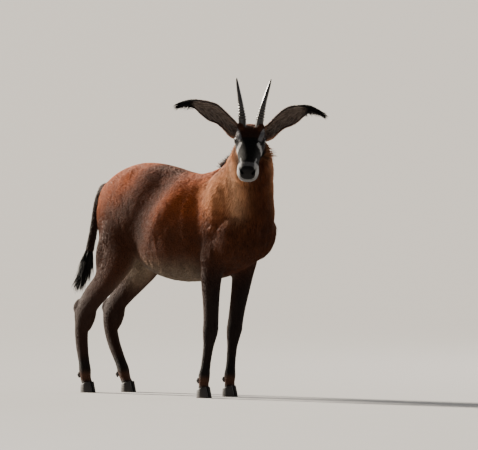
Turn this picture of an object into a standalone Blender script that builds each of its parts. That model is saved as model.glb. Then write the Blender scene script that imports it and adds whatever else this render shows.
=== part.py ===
"""Young roan antelope, life size, standing with its head turned to its right.

X runs from the tail to the chest, Y to the animal's left and Z up, in metres. The soles rest
on Z = 0 and the origin lies under the middle of the bounding box. Flesh is modelled whole, as
lofts fused by a voxel remesh, and is then parted by thin cuts into head, neck, torso and legs.
"""

import math
import random

import bmesh
import bpy
import numpy as np
from mathutils import Matrix, Vector
from mathutils.bvhtree import BVHTree

GAP = 0.0003
POCKET = 0.0006
RING_POINTS = 28
VOXEL = 0.0080
BODY_PASSES = 32
LIMB_PASSES = 4
LIMBS_BELOW = 0.50
HEAD_ABOVE = 1.0
BODY_TRIANGLES = 4600
HEAD_TRIANGLES = 7000

# Trunk sections: x, top, bottom, widest level, half width, roundness above and below
TORSO = [
    (-0.438, 0.940, 0.800, 0.870, 0.026, 2.0, 2.0),
    (-0.425, 0.980, 0.745, 0.865, 0.056, 2.0, 2.0),
    (-0.390, 1.022, 0.715, 0.862, 0.090, 2.0, 2.1),
    (-0.340, 1.052, 0.705, 0.862, 0.122, 1.9, 2.2),
    (-0.280, 1.080, 0.708, 0.862, 0.146, 1.9, 2.2),
    (-0.200, 1.104, 0.692, 0.855, 0.162, 1.9, 2.2),
    (-0.120, 1.114, 0.638, 0.840, 0.171, 1.9, 2.2),
    (-0.030, 1.110, 0.578, 0.820, 0.181, 2.0, 2.2),
    (0.070, 1.095, 0.553, 0.800, 0.186, 2.0, 2.2),
    (0.160, 1.076, 0.545, 0.790, 0.181, 2.0, 2.2),
    (0.250, 1.066, 0.549, 0.785, 0.169, 1.9, 2.2),
    (0.330, 1.078, 0.558, 0.785, 0.156, 1.8, 2.2),
    (0.400, 1.096, 0.570, 0.790, 0.148, 1.7, 2.2),
    (0.470, 1.078, 0.594, 0.795, 0.140, 1.8, 2.2),
    (0.530, 1.040, 0.618, 0.795, 0.140, 2.0, 2.2),
    (0.590, 0.980, 0.645, 0.795, 0.132, 2.0, 2.1),
    (0.640, 0.920, 0.688, 0.800, 0.110, 2.0, 2.0),
    (0.674, 0.870, 0.745, 0.805, 0.062, 2.0, 2.0),
]

# Neck sections: crest x, y, z, throat x, y, z, half width, turn of the side line in degrees
NECK = [
    (0.330, 0.000, 1.040, 0.540, 0.000, 0.660, 0.132, 0.0),
    (0.420, 0.000, 1.092, 0.664, 0.000, 0.790, 0.136, -3.0),
    (0.488, -0.004, 1.142, 0.690, -0.012, 0.900, 0.112, -10.0),
    (0.545, -0.012, 1.194, 0.700, -0.032, 1.000, 0.096, -20.0),
    (0.583, -0.020, 1.232, 0.704, -0.056, 1.080, 0.085, -32.0),
    (0.602, -0.020, 1.256, 0.700, -0.080, 1.135, 0.074, -42.0),
]

# Locks: length, half width and half thickness at the root, and how far the tip bends over
MANE_LOCK = (0.050, 0.0170, 0.0060, 0.10)
THROAT_LOCK = (0.090, 0.0180, 0.0060, 0.05)
TASSEL_LOCK = (0.034, 0.0120, 0.0035, 0.10)
TAIL_LOCK = (0.130, 0.0160, 0.0080, 0.32)
LOCK_SINK = 0.014
LOCK_TAPER = ((0.0, 0.80), (0.30, 1.0), (0.66, 0.68), (1.0, 0.10))
LOCK_STRAY = 0.12
# Spans of the neck's rows that carry the mane and the throat's fringe, and the lock counts
MANE_SPAN = (0.95, 4.40)
MANE_COUNT = 20
MANE_SPREAD = 0.007
MANE_LONGER = 0.5
MANE_LONGER_ROWS = 6
MANE_LIE = 0.35
THROAT_SPAN = (1.20, 4.60)
THROAT_COUNT = 8
THROAT_SPREAD = 0.030
THROAT_LIFT = 0.32
THROAT_STAGGER = 0.4
TASSEL_ROWS = (-3.1, -2.5, -1.8, -1.0)
TASSEL_SINK = 0.006
TASSEL_SPREAD = 0.8
TAIL_TIERS = ((0.22, 0.95), (0.50, 0.90), (0.78, 0.70))
TAIL_ROUND = 4
TAIL_ROOT = 0.010
TAIL_SPREAD = 0.24

# The head's own frame: its origin is the back of the skull, +X runs to the nose
HEAD_PLACE = (0.607, -0.012, 1.288)
HEAD_TURN = -47.0
HEAD_DROP = 38.0
HEAD_LEAN = -2.5

# Head sections: x, top, bottom, widest level, half width, roundness above and below
HEAD = [
    (-0.030, 0.002, -0.066, -0.024, 0.038, 2.0, 2.0),
    (-0.010, 0.016, -0.098, -0.020, 0.054, 2.1, 2.0),
    (0.020, 0.030, -0.118, -0.012, 0.064, 2.3, 2.0),
    (0.055, 0.044, -0.124, 0.002, 0.069, 2.5, 1.9),
    (0.090, 0.050, -0.122, 0.010, 0.073, 2.6, 1.8),
    (0.125, 0.050, -0.116, 0.010, 0.072, 2.6, 1.7),
    (0.160, 0.047, -0.106, 0.000, 0.063, 2.6, 1.7),
    (0.195, 0.043, -0.092, -0.008, 0.054, 2.5, 1.8),
    (0.230, 0.039, -0.081, -0.012, 0.049, 2.4, 2.0),
    (0.265, 0.036, -0.075, -0.015, 0.049, 2.3, 2.2),
    (0.295, 0.033, -0.073, -0.018, 0.052, 2.3, 2.4),
    (0.320, 0.027, -0.069, -0.020, 0.051, 2.4, 2.4),
    (0.338, 0.018, -0.061, -0.020, 0.041, 2.4, 2.3),
    (0.347, 0.006, -0.044, -0.020, 0.024, 2.0, 2.0),
]
HORN_BOSS = ((0.056, 0.044, 0.030), (0.034, 0.023, 0.044))
BROW = ((0.112, 0.052, 0.030), (0.034, 0.020, 0.020))

# Eyes, in the head's frame, with the lids around them
EYE_PLACE = (0.122, 0.0545, 0.014)
EYE_RADIUS = 0.0190
LID_RADIUS = 0.0224
EYE_AIM = (0.34, 1.0, 0.02)
EYE_OPENING = (0.0175, 0.0095)
EYE_SIDES = 14
# Depth and share of the opening at the two ends of the cut between the lids
EYE_CUT = ((0.006, 0.75), (0.030, 1.15))

# Nostrils and mouth, in the head's frame
NOSTRIL = ((0.3350, 0.0260, -0.0020), (0.0120, 0.0080, 0.0120))
MOUTH_LEVEL = -0.0400
MOUTH_BACK = 0.240
MOUTH_RADIUS = 0.0030

# Horns: height above the root, outward, backward, radius
HORN_PLACE = (0.052, 0.0420, 0.050)
HORN = [
    (-0.026, -0.004, -0.004, 0.0175),
    (0.030, 0.000, 0.000, 0.0182),
    (0.075, 0.007, 0.000, 0.0148),
    (0.121, 0.016, 0.003, 0.0118),
    (0.176, 0.029, 0.011, 0.0082),
    (0.210, 0.037, 0.018, 0.0050),
    (0.224, 0.040, 0.021, 0.0022),
]
HORN_LEAN = 3.3
HORN_RINGS = 5
RINGED_SPAN = (0.030, 0.096)
RING_RELIEF = 0.0016
HORN_STEPS = [(-0.026, 0.030, 2), (0.030, 0.096, 20), (0.096, 0.210, 3), (0.210, 0.224, 1)]
HORN_SIDES = 10
HORN_DEPTH = 1.1

# Legs: joints from the top down to below the coronet, for each side as it stands
FORE_JOINTS = {
    "right": [
        (0.478, -0.088, 0.790),
        (0.432, -0.104, 0.590),
        (0.420, -0.102, 0.330),
        (0.376, -0.100, 0.103),
        (0.372, -0.100, 0.030),
    ],
    "left": [
        (0.474, 0.088, 0.790),
        (0.426, 0.104, 0.590),
        (0.369, 0.102, 0.330),
        (0.341, 0.100, 0.103),
        (0.339, 0.100, 0.030),
    ],
}
HIND_JOINTS = {
    "right": [
        (-0.255, -0.070, 0.880),
        (-0.215, -0.098, 0.660),
        (-0.478, -0.094, 0.372),
        (-0.474, -0.092, 0.105),
        (-0.458, -0.090, 0.030),
    ],
    "left": [
        (-0.255, 0.070, 0.880),
        (-0.215, 0.098, 0.660),
        (-0.488, 0.094, 0.372),
        (-0.402, 0.092, 0.105),
        (-0.366, 0.090, 0.030),
    ],
}

# Leg sections: place along the joints, reach forward, reach back, half width
FORELEG = [
    (0.00, 0.060, 0.065, 0.036),
    (0.35, 0.080, 0.085, 0.052),
    (0.70, 0.074, 0.080, 0.053),
    (1.00, 0.060, 0.066, 0.046),
    (1.35, 0.050, 0.050, 0.039),
    (1.65, 0.044, 0.043, 0.035),
    (1.90, 0.042, 0.039, 0.035),
    (2.02, 0.043, 0.040, 0.036),
    (2.18, 0.035, 0.036, 0.031),
    (2.38, 0.026, 0.029, 0.024),
    (2.70, 0.024, 0.026, 0.023),
    (2.88, 0.026, 0.029, 0.026),
    (3.00, 0.028, 0.032, 0.028),
    (3.35, 0.024, 0.026, 0.026),
    (3.70, 0.027, 0.026, 0.028),
    (4.00, 0.031, 0.028, 0.030),
]
HIND_LEG = [
    (0.00, 0.110, 0.105, 0.060),
    (0.35, 0.132, 0.120, 0.076),
    (0.70, 0.122, 0.137, 0.072),
    (1.00, 0.094, 0.118, 0.060),
    (1.25, 0.076, 0.090, 0.051),
    (1.50, 0.065, 0.067, 0.041),
    (1.75, 0.056, 0.058, 0.034),
    (1.92, 0.051, 0.056, 0.031),
    (2.08, 0.044, 0.050, 0.030),
    (2.25, 0.037, 0.044, 0.028),
    (2.50, 0.032, 0.040, 0.026),
    (2.80, 0.029, 0.034, 0.025),
    (3.00, 0.030, 0.036, 0.028),
    (3.35, 0.025, 0.029, 0.026),
    (3.70, 0.027, 0.027, 0.028),
    (4.00, 0.031, 0.028, 0.030),
]

# Muscle masses: centre, half sizes, and the tilt about Y in degrees
SHOULDER = ((0.450, 0.086, 0.860), (0.105, 0.068, 0.210), 24.0)
UPPER_ARM = ((0.552, 0.092, 0.772), (0.094, 0.064, 0.125), 26.0)
BUTTOCK = ((-0.312, 0.055, 0.820), (0.098, 0.064, 0.170), -12.0)
HOCK_POINT = ((-0.524, 0.093, 0.412), (0.020, 0.015, 0.040), 38.0)

# Feet: the coronet slopes down to the heel
HOOF_TOP = 0.046
HOOF_SLOPE = 0.30
CLAW_WIDTH = 0.0275
CLAW_SPACE = 0.0030
# Claw sections: share of the height, reach forward, reach to the heel, share of the width
CLAW = [
    (1.0, 0.026, 0.029, 0.94),
    (0.66, 0.032, 0.031, 0.99),
    (0.33, 0.038, 0.032, 1.0),
    (0.0, 0.043, 0.032, 0.97),
]
CLAW_POINTS = 16
CLAW_CURVE = 0.10
DEWCLAW = ((-0.027, 0.0150, -0.022), (0.0100, 0.0085, 0.0140))
DEWCLAW_SIDES = 8

# Tail: x, y, z, half width along the skin and across it
TAIL = [
    (-0.395, 0.000, 0.985, 0.027, 0.025),
    (-0.440, 0.002, 0.975, 0.023, 0.022),
    (-0.478, 0.004, 0.925, 0.020, 0.019),
    (-0.502, 0.004, 0.850, 0.018, 0.018),
    (-0.520, 0.000, 0.760, 0.017, 0.017),
    (-0.534, -0.006, 0.690, 0.018, 0.018),
]
TAIL_SIDES = 10
TAIL_CORE = [
    (-0.534, -0.006, 0.690, 0.018, 0.018),
    (-0.546, -0.010, 0.645, 0.020, 0.019),
    (-0.562, -0.014, 0.595, 0.016, 0.014),
    (-0.576, -0.017, 0.565, 0.006, 0.006),
]

# Ears: outward, up and back from the root, then half width, cup depth, thickness
EAR = {
    "right": [
        (-0.040, -0.024, -0.002, 0.020, 0.018, 0.0160),
        (-0.018, -0.010, 0.000, 0.030, 0.024, 0.0140),
        (0.000, 0.003, 0.000, 0.036, 0.026, 0.0100),
        (0.030, 0.036, 0.004, 0.035, 0.027, 0.0065),
        (0.063, 0.066, 0.008, 0.037, 0.026, 0.0050),
        (0.101, 0.090, 0.012, 0.044, 0.023, 0.0045),
        (0.140, 0.110, 0.016, 0.037, 0.016, 0.0045),
        (0.178, 0.127, 0.020, 0.024, 0.010, 0.0045),
        (0.203, 0.132, 0.024, 0.018, 0.007, 0.0050),
        (0.228, 0.132, 0.028, 0.014, 0.005, 0.0050),
        (0.268, 0.128, 0.034, 0.009, 0.003, 0.0050),
    ],
    "left": [
        (-0.040, -0.024, -0.002, 0.020, 0.018, 0.0160),
        (-0.018, -0.006, 0.000, 0.030, 0.024, 0.0140),
        (0.002, 0.010, 0.000, 0.036, 0.026, 0.0100),
        (0.029, 0.034, 0.004, 0.034, 0.027, 0.0065),
        (0.059, 0.061, 0.008, 0.037, 0.026, 0.0050),
        (0.092, 0.082, 0.012, 0.044, 0.023, 0.0045),
        (0.124, 0.099, 0.016, 0.042, 0.018, 0.0045),
        (0.157, 0.113, 0.020, 0.030, 0.012, 0.0045),
        (0.184, 0.121, 0.024, 0.021, 0.008, 0.0050),
        (0.212, 0.118, 0.028, 0.014, 0.005, 0.0050),
        (0.258, 0.098, 0.034, 0.009, 0.003, 0.0050),
    ],
}
EAR_PLACE = {"right": (0.010, 0.080, -0.022), "left": (0.010, 0.080, -0.036)}

# Cuts between the nodes of flesh, as outlines in the animal's or the head's X and Z
NECK_BLOCK = [(0.330, 1.160), (0.720, 0.760), (1.100, 0.760), (1.100, 1.600), (0.330, 1.600)]
HEAD_BLOCK = [(-0.012, -0.132), (0.480, -0.078), (0.480, 0.300), (-0.012, 0.300)]
FORE_BLOCK = [(0.300, -0.100), (0.620, -0.100), (0.620, 0.548), (0.300, 0.548)]
HIND_BLOCK = [(-0.800, -0.100), (-0.100, -0.100), (-0.100, 0.600), (-0.470, 0.690), (-0.800, 0.690)]
WIDE = 0.6
SIDES = {"right": -1.0, "left": 1.0}


def clear_scene():
    for thing in list(bpy.data.objects):
        bpy.data.objects.remove(thing)
    for name in ("Roan_antelope", "Cutters"):
        made = bpy.data.collections.new(name)
        bpy.context.scene.collection.children.link(made)


def through(table, steps):
    """Rows on a smooth curve through the table's rows, with this many steps in each span."""
    rows = np.array(table, float)
    padded = np.vstack([2 * rows[0] - rows[1], rows, 2 * rows[-1] - rows[-2]])
    made = []
    for i in range(len(rows) - 1):
        a, b, c, d = padded[i : i + 4]
        for t in np.arange(steps) / steps:
            curve = 2 * b + (c - a) * t + (2 * a - 5 * b + 4 * c - d) * t**2
            made.append(0.5 * (curve + (3 * b - a - 3 * c + d) * t**3))
    made.append(rows[-1])
    return np.array(made)


def ring(centre, side, up, down, above=2.0, below=2.0, count=RING_POINTS):
    """A rounded outline that reaches side, up and down from its centre."""
    turns = np.arange(count) * 2 * math.pi / count
    c, s = np.cos(turns)[:, None], np.sin(turns)[:, None]
    power = np.where(s >= 0, 2 / above, 2 / below)
    across = np.sign(c) * np.abs(c) ** power
    tall = np.abs(s) ** power
    return np.array(centre) + np.array(side) * across + np.where(s >= 0, up, down) * tall


def unit(ways):
    """The ways at length 1."""
    ways = np.asarray(ways, float)
    return ways / np.linalg.norm(ways, axis=-1, keepdims=True)


def add_object(name, mesh, collection="Roan_antelope"):
    made = bpy.data.objects.new(name, mesh)
    bpy.data.collections[collection].objects.link(made)
    return made


def loft(name, rings, collection="Cutters"):
    """A closed surface through the rings, with flat ends."""
    count = len(rings[0])
    faces = [tuple(range(count))[::-1]]
    for i in range(len(rings) - 1):
        for j in range(count):
            k = (j + 1) % count
            faces.append((i * count + j, i * count + k, (i + 1) * count + k, (i + 1) * count + j))
    faces.append(tuple((len(rings) - 1) * count + j for j in range(count)))
    mesh = bpy.data.meshes.new(name)
    mesh.from_pydata(np.vstack(rings).tolist(), [], faces)
    shape = bmesh.new()
    shape.from_mesh(mesh)
    bmesh.ops.triangulate(shape, faces=shape.faces, quad_method="FIXED")
    bmesh.ops.recalc_face_normals(shape, faces=shape.faces)
    shape.to_mesh(mesh)
    shape.free()
    return add_object(name, mesh, collection)


def swollen(rings, grow=POCKET):
    """The rings set out evenly all round, for the pocket that a piece sits in."""
    made = []
    for points in rings:
        ways = np.roll(points, -1, axis=0) - points
        ways /= np.linalg.norm(ways, axis=1, keepdims=True)
        normal = np.cross(points - points.mean(axis=0), ways).sum(axis=0)
        outs = np.cross(ways, normal / np.linalg.norm(normal))
        both = outs + np.roll(outs, 1, axis=0)
        turn = 1 + np.sum(outs * np.roll(outs, 1, axis=0), axis=1, keepdims=True)
        made.append(points + both * grow / np.maximum(turn, 0.5))
    back = (rings[0] - rings[1]).mean(axis=0)
    made[0] = made[0] + back / np.linalg.norm(back) * grow
    return made


def ball(name, matrix, segments=24, collection="Cutters"):
    """A sphere of radius 1 under a matrix that gives its size and place."""
    mesh = bpy.data.meshes.new(name)
    shape = bmesh.new()
    bmesh.ops.create_uvsphere(
        shape, u_segments=segments, v_segments=segments // 2, radius=1, matrix=matrix
    )
    shape.to_mesh(mesh)
    shape.free()
    return add_object(name, mesh, collection)


def prism(name, outline, frame, near, far, grow=0.0):
    """A block from an outline in the frame's X and Z, between two places on its Y."""
    corners = [Vector(point) for point in outline]
    moved = []
    for i, corner in enumerate(corners):
        before = (corner - corners[i - 1]).normalized()
        after = (corners[(i + 1) % len(corners)] - corner).normalized()
        out_before, out_after = Vector((before.y, -before.x)), Vector((after.y, -after.x))
        middle = (out_before + out_after).normalized()
        moved.append(corner + middle * (grow / middle.dot(out_after)))
    rings = [
        np.array([frame @ Vector((point.x, y, point.y)) for point in moved])
        for y in (near - grow, far + grow)
    ]
    return loft(name, rings)


def apply_modifiers(thing):
    bpy.context.view_layer.update()
    graph = bpy.context.evaluated_depsgraph_get()
    mesh = bpy.data.meshes.new_from_object(thing.evaluated_get(graph), depsgraph=graph)
    thing.modifiers.clear()
    thing.data = mesh


def combine(thing, others, operation, solver="EXACT"):
    """Cuts the thing by each other object, or joins them all to it, and removes them."""
    tools = bpy.data.collections.new("Tools")
    bpy.context.scene.collection.children.link(tools)
    for other in others:
        tools.objects.link(other)
        if operation != "UNION" or other is others[-1]:
            step = thing.modifiers.new("step", "BOOLEAN")
            step.operation = operation
            step.solver = solver
            step.object = other
    if operation == "UNION":
        step.operand_type = "COLLECTION"
        step.collection = tools
    apply_modifiers(thing)
    for other in others:
        bpy.data.objects.remove(other)
    bpy.data.collections.remove(tools)


def copy_of(thing, name, collection="Cutters"):
    return add_object(name, thing.data.copy(), collection)


def keep_largest(thing):
    """Drops every closed surface of the thing but the one with the largest volume."""
    shape = bmesh.new()
    shape.from_mesh(thing.data)
    bmesh.ops.triangulate(shape, faces=shape.faces)
    left, pieces = set(shape.faces), []
    while left:
        found, edge = set(), [left.pop()]
        while edge:
            face = edge.pop()
            found.add(face)
            for side in face.edges:
                for other in side.link_faces:
                    if other in left:
                        left.remove(other)
                        edge.append(other)
        volume = 0.0
        for face in found:
            a, b, c = (vert.co for vert in face.verts)
            volume += a.dot(b.cross(c)) / 6
        pieces.append((volume, found))
    keep = max(pieces, key=lambda piece: piece[0])[1]
    bmesh.ops.delete(shape, geom=[f for f in shape.faces if f not in keep], context="FACES")
    shape.to_mesh(thing.data)
    shape.free()


def head_matrix():
    """The head's frame: turned, dropped and leaning."""
    turn = Matrix.Rotation(math.radians(HEAD_TURN), 4, "Z")
    drop = Matrix.Rotation(math.radians(HEAD_DROP), 4, "Y")
    lean = Matrix.Rotation(math.radians(HEAD_LEAN), 4, "X")
    return Matrix.Translation(HEAD_PLACE) @ turn @ drop @ lean


def in_head(points):
    """Points of the head's frame in the animal's frame."""
    whole = np.array(head_matrix())
    return np.asarray(points, float) @ whole[:3, :3].T + whole[:3, 3]


def torso_rings():
    rings = []
    for x, top, bottom, wide, half, above, below in through(TORSO, 4):
        rings.append(
            ring((x, 0, wide), (0, half, 0), (0, 0, top - wide), (0, 0, bottom - wide), above, below)
        )
    return rings


def neck_rings():
    rings = []
    for row in through(NECK, 5):
        crest, throat = row[0:3], row[3:6]
        turn = math.radians(row[7])
        side = np.array((-math.sin(turn), math.cos(turn), 0.0)) * row[6]
        reach = (crest - throat) / 2
        rings.append(ring((crest + throat) / 2, side, reach, -reach, 2.1, 2.1))
    return rings


def neck_frames(span, count):
    """Places along the neck: on its crest, on its throat, and the ways up through it and along it."""
    rows = through(NECK, 20)
    places = np.arange(len(rows)) / 20
    spots = np.linspace(*span, count)
    crest = np.array([[np.interp(spot, places, rows[:, k]) for k in range(3)] for spot in spots])
    throat = np.array([[np.interp(spot, places, rows[:, k]) for k in range(3, 6)] for spot in spots])
    up = unit(crest - throat)
    along = unit(np.gradient(crest + throat, axis=0))
    return crest, throat, up, along


def tree_of(thing):
    """A search tree over the thing's faces."""
    shape = bmesh.new()
    shape.from_mesh(thing.data)
    made = BVHTree.FromBMesh(shape)
    shape.free()
    return made


def skin_under(tree, point, out, reach=0.12):
    """Where a line that comes in from outside first meets the skin."""
    way = Vector(out)
    hit = tree.ray_cast(Vector(point) + way * reach, -way, 2 * reach)[0]
    return np.array(hit) if hit else np.array(point)


def lock(size, root, lie, out, draw):
    """A flat lock that tapers from its sunk root to its tip and bends towards the skin."""
    length, half, thick, bend = size
    length *= draw.uniform(0.85, 1.15)
    half *= draw.uniform(0.9, 1.15)
    lie = unit(lie + LOCK_STRAY * np.array([draw.uniform(-1, 1) for _ in range(3)]))
    out = unit(out - lie * np.dot(out, lie))
    across = np.cross(lie, out)
    rings = []
    for share, width in LOCK_TAPER:
        run = share * (length + LOCK_SINK) - LOCK_SINK
        centre = root + lie * run - out * bend * max(run, 0.0) ** 2 / length
        wide, high = across * half * width, out * thick * width
        rings.append(ring(centre, wide, high, -high, count=4))
    return loft("lock", rings)


def fuse_locks(thing, locks):
    """Joins the locks to the thing by one union and keeps the one surface."""
    combine(thing, locks, "UNION", "MANIFOLD")
    keep_largest(thing)


def neck_locks(flesh):
    """The upright mane in two staggered rows, and the fringe that hangs down the throat."""
    tree, draw = tree_of(flesh), random.Random(7)
    locks = []
    crest, throat, up, along = neck_frames(MANE_SPAN, MANE_COUNT)
    for i in range(MANE_COUNT):
        side = np.cross(up[i], along[i]) * (-1) ** i
        root = skin_under(tree, crest[i] + side * MANE_SPREAD, up[i])
        length, half, thick, bend = MANE_LOCK
        length *= 1 + MANE_LONGER * max(0.0, 1 - i / MANE_LONGER_ROWS)
        lie = up[i] - along[i] * MANE_LIE
        locks.append(lock((length, half, thick, bend), root, lie, side, draw))
    crest, throat, up, along = neck_frames(THROAT_SPAN, THROAT_COUNT)
    for i in range(THROAT_COUNT):
        for column in (-1, 0, 1):
            side = np.cross(up[i], along[i]) * (column + THROAT_STAGGER * (-1) ** i)
            out = unit(side * 0.6 - up[i])
            root = skin_under(tree, throat[i] + side * THROAT_SPREAD, out)
            locks.append(lock(THROAT_LOCK, root, out * THROAT_LIFT - along[i], out, draw))
    fuse_locks(flesh, locks)


def ear_tassel(ear, rings, sign):
    """Dark locks that hang from the tip of the ear."""
    draw = random.Random(11)
    down = np.array((0.0, 0.0, -1.0))
    outward, back = face_directions(sign)[0::2]
    locks = []
    for row in TASSEL_ROWS:
        low = int(math.floor(row))
        spots = rings[-1]
        if low < -1:
            spots = rings[low] * (low + 1 - row) + rings[low + 1] * (row - low)
        root = spots[np.argmin(spots[:, 2])] - down * TASSEL_SINK
        locks.append(lock(TASSEL_LOCK, root, down + outward * TASSEL_SPREAD, back, draw))
    fuse_locks(ear, locks)


def tail_locks(tuft, rings):
    """Tiers of locks round the tuft's core, which reaches half way to their tips."""
    draw = random.Random(5)
    locks = []
    fore = np.array((0.0, 1.0, 0.0))
    for share, size in TAIL_TIERS:
        place = share * (len(rings) - 1)
        low = int(place)
        points = rings[low] * (low + 1 - place) + rings[low + 1] * (place - low)
        middle = points.mean(axis=0)
        down = unit(rings[low + 1].mean(axis=0) - rings[low].mean(axis=0))
        for turn in range(TAIL_ROUND):
            angle = 2 * math.pi * (turn / TAIL_ROUND + share)
            out = unit(np.cross(down, fore)) * math.cos(angle) + fore * math.sin(angle)
            length, half, thick, bend = TAIL_LOCK
            sizes = (length * size, half, thick, bend)
            locks.append(lock(sizes, middle + out * TAIL_ROOT, down + out * TAIL_SPREAD, out, draw))
    fuse_locks(tuft, locks)


def head_rings():
    rings = []
    for x, top, bottom, wide, half, above, below in through(HEAD, 4):
        own = ring((x, 0, wide), (0, half, 0), (0, 0, top - wide), (0, 0, bottom - wide), above, below)
        rings.append(in_head(own))
    return rings


def leg_rings(joints, profile):
    """Sections square to the line through the joints, sized by the profile."""
    line = through(joints, 20)
    places = np.arange(len(line)) / 20
    along = np.gradient(line, axis=0)
    rings = []
    for row in through(profile, 4):
        centre = [np.interp(row[0], places, line[:, k]) for k in range(3)]
        axis = Vector([np.interp(row[0], places, along[:, k]) for k in range(3)]).normalized()
        side = axis.cross(Vector((1, 0, 0))).normalized()
        fore = side.cross(axis).normalized()
        if fore.x < 0:
            fore = -fore
        rings.append(
            ring(centre, np.array(side) * row[3], np.array(fore) * row[1], np.array(fore) * -row[2])
        )
    return rings


def mass(name, values, side, frame=None, segments=24):
    """An ellipsoid of muscle or bone on one side."""
    (x, y, z), sizes = values[0], values[1]
    tilt = values[2] if len(values) > 2 else 0.0
    place = Matrix.Translation((x, y * side, z)) @ Matrix.Rotation(math.radians(tilt), 4, "Y")
    return ball(name, (frame or Matrix()) @ place @ Matrix.Diagonal((*sizes, 1)), segments)


def whole_body():
    """Every mass of flesh as one closed, smooth surface."""
    loft("trunk", torso_rings())
    loft("nape", neck_rings())
    loft("skull", head_rings())
    for side, sign in SIDES.items():
        loft("fore_" + side, leg_rings(FORE_JOINTS[side], FORELEG))
        loft("hind_" + side, leg_rings(HIND_JOINTS[side], HIND_LEG))
        for values in (SHOULDER, UPPER_ARM, BUTTOCK, HOCK_POINT):
            mass("muscle", values, sign)
        for values in (HORN_BOSS, BROW):
            mass("bone", values, sign, head_matrix())
    joined = bmesh.new()
    for piece in list(bpy.data.collections["Cutters"].objects):
        joined.from_mesh(piece.data)
        bpy.data.objects.remove(piece)
    mesh = bpy.data.meshes.new("flesh")
    joined.to_mesh(mesh)
    joined.free()
    flesh = add_object("flesh", mesh, "Cutters")
    fuse = flesh.modifiers.new("fuse", "REMESH")
    fuse.mode = "VOXEL"
    fuse.voxel_size = VOXEL
    apply_modifiers(flesh)
    trunk = flesh.vertex_groups.new(name="trunk and thighs")
    inside = head_matrix().inverted()
    for vert in flesh.data.vertices:
        share = min(max((vert.co.z - LIMBS_BELOW) / 0.12, 0.0), 1.0)
        if vert.co.z > HEAD_ABOVE:
            share *= min(max(-(inside @ vert.co).x / 0.06 - 0.33, 0.0), 1.0)
        trunk.add([vert.index], share, "REPLACE")
    for passes, group in ((LIMB_PASSES, ""), (BODY_PASSES, trunk.name)):
        settle = flesh.modifiers.new("settle", "SMOOTH")
        settle.iterations = passes
        settle.factor = 0.5
        settle.vertex_group = group
    apply_modifiers(flesh)
    flesh.vertex_groups.clear()
    return flesh


def thinned(flesh, triangles):
    """A copy of the flesh with about this many triangles."""
    made = copy_of(flesh, "thinned")
    thin = made.modifiers.new("thin", "DECIMATE")
    thin.ratio = triangles / (2 * len(made.data.polygons))
    thin.use_collapse_triangulate = True
    apply_modifiers(made)
    return made


def part_flesh(whole):
    """Cuts the one surface into the nodes of flesh, with a thin gap at each cut.

    The head comes from a copy with smaller faces.
    """
    flesh, fine = thinned(whole, BODY_TRIANGLES), thinned(whole, HEAD_TRIANGLES)
    bpy.data.objects.remove(whole)
    for thing in (flesh, fine):
        neck_locks(thing)
    own, head_frame = Matrix(), head_matrix()
    nodes = {}
    neck = copy_of(flesh, "neck", "Roan_antelope")
    combine(neck, [prism("block", NECK_BLOCK, own, -WIDE, WIDE)], "INTERSECT")
    combine(neck, [prism("block", HEAD_BLOCK, head_frame, -WIDE, WIDE, GAP)], "DIFFERENCE")
    head = copy_of(fine, "head", "Roan_antelope")
    for outline, frame in ((NECK_BLOCK, own), (HEAD_BLOCK, head_frame)):
        combine(head, [prism("block", outline, frame, -WIDE, WIDE)], "INTERSECT")
    nodes["neck"], nodes["head"] = neck, head
    for pair, outline in (("foreleg", FORE_BLOCK), ("hindleg", HIND_BLOCK)):
        for side, sign in SIDES.items():
            near, far = sorted((sign * GAP, sign * WIDE))
            leg = copy_of(flesh, f"{pair}_{side}", "Roan_antelope")
            combine(leg, [prism("block", outline, own, near, far)], "INTERSECT")
            nodes[leg.name] = leg
    torso = copy_of(flesh, "torso", "Roan_antelope")
    outlines = (NECK_BLOCK, FORE_BLOCK, HIND_BLOCK)
    blocks = [prism("block", outline, own, -WIDE, WIDE, GAP) for outline in outlines]
    combine(torso, blocks, "DIFFERENCE")
    nodes["torso"] = torso
    for helper in (flesh, fine):
        bpy.data.objects.remove(helper)
    for node in nodes.values():
        keep_largest(node)
    return nodes


def eye_matrix(sign):
    """The eye's frame: its centre, with Z looking out through the lids and Y up."""
    place = Vector((EYE_PLACE[0], EYE_PLACE[1] * sign, EYE_PLACE[2]))
    aim = Vector((EYE_AIM[0], EYE_AIM[1] * sign, EYE_AIM[2]))
    turn = aim.to_track_quat("Z", "Y").to_matrix().to_4x4()
    return head_matrix() @ Matrix.Translation(place) @ turn


def eye_opening(sign):
    """An almond-shaped cutter from the eye's centre outward."""
    long, tall = EYE_OPENING
    frame = eye_matrix(sign)
    flat = []
    for turn in np.arange(EYE_SIDES) * 2 * math.pi / EYE_SIDES:
        c, s = math.cos(turn), math.sin(turn)
        flat.append((long * c, tall * math.copysign(abs(s) ** 1.5, s)))
    rings = []
    for depth, scale in EYE_CUT:
        rings.append(np.array([frame @ Vector((u * scale, v * scale, depth)) for u, v in flat]))
    return loft("opening", rings)


def tube(name, points, radius, sides=5):
    """A closed tube along the points."""
    points = np.array(points, float)
    along = np.gradient(points, axis=0)
    rings = []
    for point, way in zip(points, along):
        axis = Vector(way).normalized()
        side = axis.cross(Vector((0.1, 0.2, 1.0))).normalized()
        up = side.cross(axis).normalized()
        wide, high = np.array(side) * radius, np.array(up) * radius
        rings.append(ring(point, wide, high, -high, count=sides))
    return loft(name, rings)


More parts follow.
